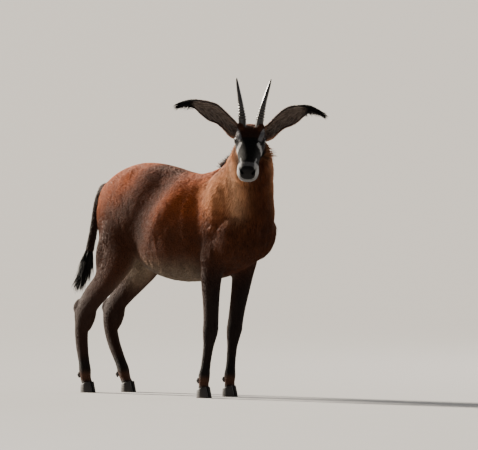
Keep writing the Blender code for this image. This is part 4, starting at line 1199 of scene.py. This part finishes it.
# %% Ears
# Ear sections: outward, up and back from the root, then half width, cup depth, thickness
EAR = {
    "right": [
        (-0.040, -0.024, -0.002, 0.020, 0.018, 0.0160), (-0.018, -0.010, 0.000, 0.030, 0.024, 0.0140),
        (0.000, 0.003, 0.000, 0.036, 0.026, 0.0100), (0.030, 0.036, 0.004, 0.035, 0.027, 0.0065),
        (0.063, 0.066, 0.008, 0.037, 0.026, 0.0050), (0.101, 0.090, 0.012, 0.044, 0.023, 0.0045),
        (0.140, 0.110, 0.016, 0.037, 0.016, 0.0045), (0.178, 0.127, 0.020, 0.024, 0.010, 0.0045),
        (0.203, 0.132, 0.024, 0.018, 0.007, 0.0050), (0.228, 0.132, 0.028, 0.014, 0.005, 0.0050),
        (0.268, 0.128, 0.034, 0.009, 0.003, 0.0050),
    ],
    "left": [
        (-0.040, -0.024, -0.002, 0.020, 0.018, 0.0160), (-0.018, -0.006, 0.000, 0.030, 0.024, 0.0140),
        (0.002, 0.010, 0.000, 0.036, 0.026, 0.0100), (0.029, 0.034, 0.004, 0.034, 0.027, 0.0065),
        (0.059, 0.061, 0.008, 0.037, 0.026, 0.0050), (0.092, 0.082, 0.012, 0.044, 0.023, 0.0045),
        (0.124, 0.099, 0.016, 0.042, 0.018, 0.0045), (0.157, 0.113, 0.020, 0.030, 0.012, 0.0045),
        (0.184, 0.121, 0.024, 0.021, 0.008, 0.0050), (0.212, 0.118, 0.028, 0.014, 0.005, 0.0050),
        (0.258, 0.098, 0.034, 0.009, 0.003, 0.0050),
    ],
}
EAR_PLACE = {"right": (0.010, 0.080, -0.022), "left": (0.010, 0.080, -0.036)}
EAR_OUTSIDE = 31
EAR_INSIDE = 27
EAR_GREY = (0.110, 0.078, 0.064)
EAR_PALE = (0.360, 0.290, 0.240)
EAR_BACK = (0.170, 0.058, 0.022)
# Hair of the ear: first and last column of the shell, tufts, tuft size, and where along it starts
EAR_ROUND = EAR_OUTSIDE + EAR_INSIDE
EAR_HAIR = {
    "back": (0.5, EAR_OUTSIDE - 1.5, 3600, (0.012, 0.0024, 0.0006, 0.0012), 0.06),
    "inside": (EAR_OUTSIDE + 0.5, EAR_ROUND - 1.5, 1200, (0.026, 0.0012, 0.0005, 0.0030), 0.16),
    "rim": (EAR_OUTSIDE - 2.0, EAR_OUTSIDE + 1.0, 800, (0.0075, 0.0013, 0.0005, 0.0006), 0.16),
}
TASSEL_HAIRS = 260
thin_finish = finish("thin_ear_skin", 0.68, 420.0, (1, 1, 0.5), 0.0006, 0.30, 0.15)


def ear_grid(side, sign):
    """Rings of the ear's shell: its outside from edge to edge, then its inside."""
    outward, up, back = face_directions(sign)
    x, y, z = EAR_PLACE[side]
    place = in_head((x, y * sign, z))
    rows = through(EAR[side], 6)
    line = place + rows[:, :1] * outward + rows[:, 1:2] * up + rows[:, 2:3] * back
    rings = []
    for row, point, way in zip(rows, line, unit(np.gradient(line, axis=0))):
        half, cup, thick = row[3:6]
        across = unit(np.cross(way, back))
        inner = half - 0.8 * min(thick, 0.4 * half)
        shell = []
        for s in np.linspace(-1, 1, EAR_OUTSIDE):
            shell.append(point + across * half * s + back * cup * (0.6 - s * s))
        for s in np.linspace(0.985, -0.985, EAR_INSIDE):
            shell.append(point + across * inner * s + back * (cup * (0.6 - s * s) - thick * 0.8))
        rings.append(np.array(shell))
    return np.array(rings)


def grid_spots(grid, rows, columns):
    """Places on a grid of rings at broken row and column numbers."""
    i, j = np.floor(rows).astype(int), np.floor(columns).astype(int)
    i, j = np.clip(i, 0, grid.shape[0] - 2), np.clip(j, 0, grid.shape[1] - 2)
    a, b = (rows - i)[:, None], (columns - j)[:, None]
    low = grid[i, j] * (1 - b) + grid[i, j + 1] * b
    high = grid[i + 1, j] * (1 - b) + grid[i + 1, j + 1] * b
    return low * (1 - a) + high * a


def grid_frames(grid, rows, columns):
    """Roots, ways out and ways along the grid."""
    nudge = 0.05
    roots = grid_spots(grid, rows, columns)
    along = unit(grid_spots(grid, rows + nudge, columns) - grid_spots(grid, rows - nudge, columns))
    around = unit(grid_spots(grid, rows, columns + nudge) - grid_spots(grid, rows, columns - nudge))
    return roots, unit(np.cross(around, along)), along


def ear_shell(side, grid):
    """The blade of the ear: black rim and tip, grey inside and peach at its root."""
    share = np.linspace(0, 1, len(grid))[:, None]
    edge = np.abs(np.concatenate([np.linspace(-1, 1, count) for count in (EAR_OUTSIDE, EAR_INSIDE)]))[None]
    inside = (np.arange(EAR_ROUND) >= EAR_OUTSIDE)[None]
    whole = np.ones(grid.shape[:2])
    tint = layered(np.tile(EAR_BACK, (whole.size, 1)).astype(float), [
        (EAR_GREY, (inside * whole).ravel()),
        (PEACH, (inside * soft(edge, 0.5, 0.8) * soft(share, 0.5, 0.2) * 0.35).ravel()),
        (BLACK, (soft(edge, 0.80, 0.90) * inside * soft(share, 0.15, 0.3)).ravel()),
        (BLACK, (soft(share, 0.66, 0.78) * whole).ravel()),
    ])
    mesh = mesh_of("ear", *closed_form(list(grid)))
    dressed(f"ear_{side}_shell", mesh, "ear_" + side, thin_finish, tint)


def ear_hair(side, sign, grid):
    """Short hair behind, long pale hair inside and a close dark line along the rim."""
    steps = len(grid)
    back = face_directions(sign)[2]
    for name, (first, last, count, size, start) in EAR_HAIR.items():
        rows = chance.uniform(start * steps, 0.93 * steps, count)
        columns = chance.uniform(first, last, count)
        if name == "rim":
            other_edge = chance.random(count) < 0.5
            columns = np.where(other_edge, chance.uniform(0.0, 1.2, count), columns)
        roots, outs, along = grid_frames(grid, rows, columns)
        away = unit(roots - grid[np.clip(rows.astype(int), 0, steps - 1)].mean(axis=1))
        outs *= math.copysign(1, np.mean(np.sum(outs * back, axis=1)))
        if name == "inside":
            outs = np.where(np.sum(outs * back, axis=1, keepdims=True) > 0, -outs, outs)
            lies = unit(along - 0.5 * away * chance.uniform(0.2, 1.0, (count, 1)))
            colours = np.where((chance.random(count) < 0.6)[:, None], EAR_PALE, EAR_GREY)
        else:
            stray = chance.normal(0, 0.12, along.shape)
            lies = unit(along + (0.25 * away if name == "rim" else stray))
            colours = np.tile(EAR_BACK if name == "back" else BLACK, (count, 1))
        colours = over(colours, BLACK, soft(rows / steps, 0.64, 0.76)) * chance.uniform(0.8, 1.2, (count, 1))
        sizes = varied(size, count, 0.75, 1.25)
        places = on_sheet(rows / steps, columns / grid.shape[1])
        add_tufts(f"ear_{side}_{name}_hair", roots, outs, lies, sizes, colours, places, coat_finish)


def ear_tassel(side, sign, grid):
    """Black hair that hangs from the last part of the ear."""
    steps = len(grid)
    outward, up, back = face_directions(sign)
    rows = steps - 1.05 - chance.random(TASSEL_HAIRS) ** 1.5 * 0.26 * steps
    columns = chance.uniform(0, grid.shape[1] - 1.01, TASSEL_HAIRS)
    roots = grid_spots(grid, rows, columns)
    tip = soft(rows / steps, 0.75, 0.97)[:, None]
    stray = chance.normal(0, 0.18, roots.shape)
    lies = unit(outward * (0.5 + 0.5 * tip) - up * (1.0 - 0.4 * tip) + stray)
    outs = unit(np.cross(lies, np.cross(back, lies)))
    sizes = varied((0.030, 0.0022, 0.0008, 0.001), TASSEL_HAIRS, 0.6, 1.2)
    sizes[:, 0] *= 0.55 + 0.45 * tip[:, 0]
    colours = varied(BLACK, TASSEL_HAIRS, 0.8, 1.6, False)
    places = on_sheet(rows / steps, columns / grid.shape[1])
    name = f"ear_{side}_tassel"
    add_tufts(name, roots, outs, lies, sizes, colours, places, long_finish, 3, 0.15)


for side, sign in SIDES.items():
    shell = ear_grid(side, sign)
    ear_shell(side, shell)
    ear_hair(side, sign, shell)
    ear_tassel(side, sign, shell)

# %% [markdown]
# The mane stands up along the crest in a narrow brush, longest at the withers, and a fringe of long
# hair hangs down the throat. Both follow frames along the neck, and each root is dropped on the
# skin by a ray, so that it grows from the skin and not beside it.

# %% Mane and throat fringe
# Spans along the neck, in rows of its table: first row and how many
MANE_SPAN = (0.90, 3.75)
FRINGE_SPAN = (0.95, 3.85)
skin_tree = BVHTree.FromPolygons(skin_points.tolist(), skin_triangles.tolist())


def on_skin(points, outs, reach=0.12):
    """Where lines that come in from outside first meet the skin."""
    made = []
    for point, out in zip(points.tolist(), outs.tolist()):
        way = Vector(out)
        hit = skin_tree.ray_cast(Vector(point) + way * reach, -way, 2 * reach)[0]
        made.append(list(hit) if hit else point)
    return np.array(made)


def neck_frames(spots):
    """At each place along the neck: crest, throat, the way up through it and the way along it."""
    rows = through(NECK, 20)
    places = np.arange(len(rows)) / 20
    values = np.array([np.interp(spots, places, rows[:, k]) for k in range(6)]).T
    middle = (rows[:, :3] + rows[:, 3:6]) / 2
    ways = unit(np.gradient(middle, axis=0))
    along = np.array([np.interp(spots, places, ways[:, k]) for k in range(3)]).T
    return values[:, :3], values[:, 3:6], unit(values[:, :3] - values[:, 3:6]), unit(along)


def mane():
    """The upright brush of hair on the crest."""
    count = 1500
    start, span = MANE_SPAN
    spots = start + span * chance.random(count)
    crest, _, up, along = neck_frames(spots)
    side = unit(np.cross(up, along))
    off = chance.normal(0, 0.006, (count, 1))
    outs = unit(up + side * off * 20)
    roots = on_skin(crest + side * off, outs) - outs * 0.004
    longer = soft(spots, 2.2, 1.0)
    length = (0.046 + 0.010 * longer) * chance.uniform(0.7, 1.15, count)
    lies = unit(up - along * 0.35 + side * off * 16 + chance.normal(0, 0.07, (count, 3)))
    sizes = np.column_stack([length, np.tile((0.0040, 0.0014, 0.0), (count, 1))])
    colours = over(np.tile(BROWN, (count, 1)).astype(float), BLACK, 0.8 - 0.3 * longer)
    colours *= chance.uniform(0.7, 1.3, (count, 1))
    places = np.column_stack([0.02 + 0.96 * (spots - start) / span, 0.5 + off[:, 0] * 15])
    facing = square_to(side, lies)
    add_tufts("mane", roots, facing, lies, sizes, colours, places, long_finish, 3, 0.0, 0.8)


def throat_fringe():
    """Long hair that hangs from the throat and the front of the neck."""
    count = 3200
    start, span = FRINGE_SPAN
    spots = start + span * chance.random(count)
    _, throat, up, along = neck_frames(spots)
    side = unit(np.cross(up, along))
    turn = chance.normal(0, 0.55, (count, 1)).clip(-1.3, 1.3)
    outs = unit(side * np.sin(turn) - up * np.cos(turn))
    roots = on_skin(throat + up * 0.06 + outs * 0.05, outs) - outs * 0.002
    length = 0.062 * chance.uniform(0.6, 1.25, count) * (1 - 0.35 * np.abs(turn[:, 0]) / 1.3)
    lies = unit(-along + outs * 0.16 + chance.normal(0, 0.09, (count, 3)))
    outs = square_to(outs, lies)
    sizes = np.column_stack([length, np.tile((0.0030, 0.0011, 0.003), (count, 1))])
    colours = varied(BROWN, count, 0.7, 1.8, False)
    places = np.column_stack([0.02 + 0.96 * (spots - start) / span, 0.5 + turn[:, 0] * 0.3])
    add_tufts("throat_fringe", roots, outs, lies, sizes, colours, places, long_finish, 3, 0.10)


mane()
throat_fringe()

# %% [markdown]
# The tail hangs behind the buttocks: a haired dock that ends in a black tuft. The dock is a closed
# tube let into the rump, and the tuft is a slim core with long hairs round it.

# %% Tail
# Tail sections: x, y, z, half width along the skin and across it
DOCK = [
    (-0.395, 0.000, 0.985, 0.027, 0.025),
    (-0.440, 0.002, 0.975, 0.023, 0.022),
    (-0.478, 0.004, 0.925, 0.020, 0.019),
    (-0.502, 0.004, 0.850, 0.018, 0.018),
    (-0.520, 0.000, 0.760, 0.017, 0.017),
    (-0.534, -0.006, 0.690, 0.018, 0.018),
]
TUFT_CORE = [
    (-0.534, -0.006, 0.690, 0.0165, 0.0165),
    (-0.546, -0.010, 0.645, 0.018, 0.017),
    (-0.562, -0.014, 0.595, 0.013, 0.012),
    (-0.576, -0.017, 0.565, 0.004, 0.004),
]
TAIL_POINTS = 24


def strand_grid(table, steps, inset):
    """Round rings square to a hanging line, a little thinner than the table."""
    rows = through(table, steps)
    side = np.array((0.0, 1.0, 0.0))
    rings = []
    for row, way in zip(rows, unit(np.gradient(rows[:, :3], axis=0))):
        fore = unit(np.cross(side, way)) * row[3] * (1 - inset)
        rings.append(ring(row[:3], side * row[4] * (1 - inset), fore, -fore, count=TAIL_POINTS))
    return np.array(rings)


def tail_hair(name, grid, count, span, size, spread, colour, steps, fall):
    """Hair that grows down and out from a strand."""
    rows = span[0] + (span[1] - span[0]) * chance.random(count)
    rows = np.clip(rows, 0, 0.999) * (len(grid) - 1)
    columns = chance.uniform(0, TAIL_POINTS - 1.01, count)
    roots = grid_spots(grid, rows, columns)
    whole = rows.astype(int)
    part = (rows - whole)[:, None]
    middles = grid.mean(axis=1)
    centre = middles[whole] * (1 - part) + middles[whole + 1] * part
    down = unit(middles[whole + 1] - middles[whole])
    out = unit(roots - centre)
    bend = out * spread * chance.uniform(0.2, 1.0, (count, 1))
    lies = unit(down + bend + chance.normal(0, 0.05, (count, 3)))
    sizes = varied(size, count, 0.7, 1.25)
    tints = varied(colour, count, 0.7, 1.4, False)
    places = on_sheet(rows / len(grid), columns / TAIL_POINTS)
    add_tufts(name, roots, square_to(out, lies), lies, sizes, tints, places, long_finish, steps, fall)


dock = strand_grid(DOCK, 8, 0.10)
dressed("tail_dock", mesh_of("dock", *closed_form(list(dock))), "tail", thin_finish, DARK)
core = strand_grid(TUFT_CORE, 6, 0.0)
core_mesh = mesh_of("core", *closed_form(list(core)))
dressed("tail_tuft_core", core_mesh, "tail_tuft", thin_finish, BLACK)
tail_hair("tail_coat", dock, 3000, (0.06, 0.99), (0.022, 0.0030, 0.0009, 0.003), 0.10, DARK, 2, 0.0)
tail_hair("tail_brush", core, 900, (0.0, 0.95), (0.082, 0.0034, 0.0013, 0.004), 0.24, BLACK, 4, 0.12)

# %% [markdown]
# The eye is a dark, wet ball with a wide level pupil. A slim rim of black skin runs round the
# opening of the lids, and short lashes shade the upper lid.

# %% Eyes and lids
IRIS_SIZE = 0.0120
PUPIL = (0.0078, 0.0036)
CORNEA_RISE = 0.0009
EYEBALL_TINT = (0.020, 0.012, 0.009)
IRIS_TINT = (0.026, 0.010, 0.005)
PUPIL_TINT = (0.002, 0.002, 0.003)
RIM_POINTS = 60
RIM_SIDES = 8
RIM_RADIUS = 0.0011
LASHES = 46


def eyeball(side, sign):
    """One eyeball with its iris, pupil and cornea."""
    mesh = ball_mesh(Matrix(), 64)
    points = read_rows(mesh.vertices) * EYE_RADIUS
    off = np.linalg.norm(points[:, :2], axis=1)
    front = points[:, 2] > 0
    pupil = (points[:, 0] / PUPIL[0]) ** 2 + (points[:, 1] / PUPIL[1]) ** 2
    tint = layered(np.tile(EYEBALL_TINT, (len(points), 1)).astype(float), [
        (IRIS_TINT, soft(off, IRIS_SIZE, IRIS_SIZE * 0.85) * front),
        (PUPIL_TINT, soft(pupil, 1.2, 0.8) * front),
    ])
    rise = 1 + CORNEA_RISE / EYE_RADIUS * soft(off, IRIS_SIZE, 0.0) * front
    points = under(eye_matrix(sign), points * rise[:, None])
    mesh.vertices.foreach_set("co", points.astype(np.float32).ravel())
    dressed("eyeball_" + side, mesh, "eye_" + side, eye_finish, tint)


def lid_rim(side, sign):
    """A thin rim of bare skin along the edge of the lids, and the lashes of the upper lid."""
    flat = almond(1.02, RIM_POINTS)
    high = np.sqrt(np.maximum((LID_RADIUS - 0.0012) ** 2 - np.sum(flat**2, axis=1), 1e-8))
    points = under(eye_matrix(sign), np.column_stack([flat, high]))
    ways = unit(np.roll(points, -1, axis=0) - np.roll(points, 1, axis=0))
    outs = unit(points - np.array(eye_matrix(sign).translation))
    across = np.cross(ways, outs)
    turns = np.arange(RIM_SIDES) * 2 * math.pi / RIM_SIDES
    rings = []
    for point, side_way, out in zip(points, across, outs):
        rings.append(point + (np.outer(np.cos(turns), side_way) + np.outer(np.sin(turns), out)) * RIM_RADIUS)
    faces = []
    for i in range(RIM_POINTS):
        for j in range(RIM_SIDES):
            here, there = i * RIM_SIDES, (i + 1) % RIM_POINTS * RIM_SIDES
            faces.append((here + j, there + j, there + (j + 1) % RIM_SIDES, here + (j + 1) % RIM_SIDES))
    finished(link("lid_rim_" + side, mesh_of("rim", np.vstack(rings), faces)), lid_finish, BLACK)
    picks = chance.choice(np.flatnonzero(flat[:, 1] > 0.004), LASHES)
    roots = points[picks] + chance.normal(0, 0.0005, (LASHES, 3))
    rise = unit(np.array(eye_matrix(sign))[:3, 1])
    lies = unit(outs[picks] + rise * 0.25 + chance.normal(0, 0.15, (LASHES, 3)))
    sizes = varied((0.0085, 0.0009, 0.0005, -0.0012), LASHES, 0.7, 1.2)
    places = np.column_stack([0.1 + 0.8 * picks / RIM_POINTS, np.full(LASHES, 0.5)])
    colours = np.tile(BLACK, (LASHES, 1))
    name = "lashes_" + side
    add_tufts(name, roots, square_to(rise, lies), lies, sizes, colours, places, long_finish)


for side, sign in SIDES.items():
    eyeball(side, sign)
    lid_rim(side, sign)

# %% [markdown]
# A cloven hoof is two claws, flat below and pointed in front, with a dewclaw pair behind the
# fetlock. The wall shows faint growth rings, which are pressed into the rings of each claw.

# %% Hooves and dewclaws
CLAW_WIDTH = 0.0275
CLAW_SPACE = 0.0030
GAP = 0.0003
# Claw sections: share of the height, reach forward, reach to the heel, share of the width
CLAW = [
    (1.0, 0.026, 0.029, 0.94),
    (0.66, 0.032, 0.031, 0.99),
    (0.33, 0.038, 0.032, 1.0),
    (0.0, 0.043, 0.032, 0.97),
]
CLAW_CURVE = 0.10
CLAW_POINTS = 40
HOOF_TINT = (0.015, 0.012, 0.011)
SPUR_TINT = (0.022, 0.018, 0.016)
DEWCLAW = ((-0.027, 0.0150, -0.022), (0.0100, 0.0085, 0.0140))


def claw(node, x, y, sign):
    """One claw with its growth rings."""
    rings, tints = [], []
    for level, front, heel, width in through(CLAW, 9):
        press = 1 - 0.012 * math.cos(level * 34) * (0.05 < level < 0.95)
        half = CLAW_WIDTH / 2 * width * press
        reach, rear = (front * press, 0, 0), (-heel * press, 0, 0)
        flat = ring((x, y, 0.0), (0, half, 0), reach, rear, 1.7, 2.4, CLAW_POINTS)
        flat[:, 1] -= sign * CLAW_CURVE * np.maximum(flat[:, 0] - x, 0)
        flat[:, 2] = level * (HOOF_TOP - GAP + HOOF_SLOPE * (flat[:, 0] - x))
        rings.append(flat)
        tints.append(np.tile(np.array(HOOF_TINT) * (1 + 0.6 * (1 - level)), (CLAW_POINTS, 1)))
    mesh = mesh_of("claw", *closed_form(rings))
    dressed(node + "_claw", mesh, node, hoof_finish, np.vstack(tints))


def spur(name, x, y, z, sign):
    """One dewclaw: a small ball that is broader at its lower end."""
    (dx, dy, dz), sizes = DEWCLAW
    mesh = ball_mesh(Matrix(), 28)
    points = read_rows(mesh.vertices)
    points[:, :2] *= 1 + 0.45 * points[:, 2:]
    place = Matrix.Translation((x + dx, y + dy * sign, z + dz)) @ Matrix.Diagonal((*sizes, 1))
    mesh.vertices.foreach_set("co", under(place, points).astype(np.float32).ravel())
    dressed("spur_" + name, mesh, "dewclaw_" + name, hoof_finish, SPUR_TINT)


for leg, joints in JOINTS.items():
    pair, side = leg.split("leg_")
    x, y = joints[-1][:2]
    for place, sign in (("inner", -math.copysign(1, y)), ("outer", math.copysign(1, y))):
        name = f"{pair}_{side}_{place}"
        claw("hoof_" + name, x, y + sign * (CLAW_WIDTH + CLAW_SPACE) / 2, sign)
        spur(name, *joints[-2], sign)

# %% [markdown]
# The animal stands on a plain pale floor. A warm low sun lamp shines from behind the tail, so the
# light grazes the coat and draws its hair. A weak soft lamp fills the front, and a large one keeps
# the far side from going dark.

# %% Floor, light and camera
AZIMUTH = 47.0
ELEVATION = 2.5
DISTANCE = 45.0
METRES_A_PIXEL = 0.00475
PICTURE = (478, 450)
ANCHOR = (0.38, -0.10, 0.0)
ANCHOR_PIXEL = (205, 398)
SENSOR = 36.0
FAR_CLIP = 6000.0
FLOOR_HALF = 2500.0
FLOOR_TINT = (0.44, 0.43, 0.42)
AIR = {"Color": (0.90, 0.92, 0.96, 1), "Strength": 0.22}
# The lamps: kind, place, what it is aimed at, size (an angle for the sun), power and colour
LAMPS = {
    "key": ("SUN", (-9.0, -1.5, 4.0), (0.0, 0.0, 0.8), math.radians(6.0), 19.0, (1.0, 0.91, 0.78)),
    "fill": ("AREA", (3.0, -5.0, 2.2), (0.1, 0.0, 0.8), 3.0, 25.0, (0.92, 0.96, 1.0)),
    "far_side": ("AREA", (0.8, 6.0, 2.6), (0.0, 0.0, 0.8), 4.0, 200.0, (1.0, 0.97, 0.93)),
}


def studio():
    """The floor, the backdrop's tone and the lamps."""
    h = FLOOR_HALF
    floor = link("floor", mesh_of("floor", [(-h, -h, 0), (h, -h, 0), (h, h, 0), (-h, h, 0)], [(0, 1, 2, 3)]))
    paint(floor.data, np.tile(FLOOR_TINT, (4, 1)))
    floor.data.materials.append(finish("pale_floor", 0.85, 3.0, (1, 1, 1), 0.0, 0.02))
    world = bpy.context.scene.world or bpy.data.worlds.new("studio")
    bpy.context.scene.world = world
    world.use_nodes = True
    for socket, value in AIR.items():
        world.node_tree.nodes["Background"].inputs[socket].default_value = value
    for name, (kind, place, aim, size, power, colour) in LAMPS.items():
        lamp = bpy.data.lights.new(name, kind)
        setattr(lamp, "angle" if kind == "SUN" else "size", size)
        lamp.energy = power
        lamp.color = colour
        holder = link(name, lamp)
        holder.location = place
        holder.rotation_euler = (Vector(aim) - Vector(place)).to_track_quat("-Z", "Y").to_euler()


def look():
    """A long lens at the angle of the photograph, with its framing."""
    azimuth, elevation = math.radians(AZIMUTH), math.radians(ELEVATION)
    level = math.cos(elevation)
    back = Vector((math.sin(azimuth) * level, -math.cos(azimuth) * level, math.sin(elevation)))
    wide, tall = PICTURE
    lens = bpy.data.cameras.new("camera")
    lens.sensor_width = SENSOR
    lens.lens = SENSOR * DISTANCE / (METRES_A_PIXEL * wide)
    lens.shift_x = (wide / 2 - ANCHOR_PIXEL[0]) / wide
    lens.shift_y = (ANCHOR_PIXEL[1] - tall / 2) / wide
    lens.clip_end = FAR_CLIP
    holder = link("camera", lens)
    holder.location = Vector(ANCHOR) + Vector(shift) + back * DISTANCE
    holder.rotation_euler = back.to_track_quat("Z", "Y").to_euler()
    bpy.context.scene.camera = holder


studio()
look()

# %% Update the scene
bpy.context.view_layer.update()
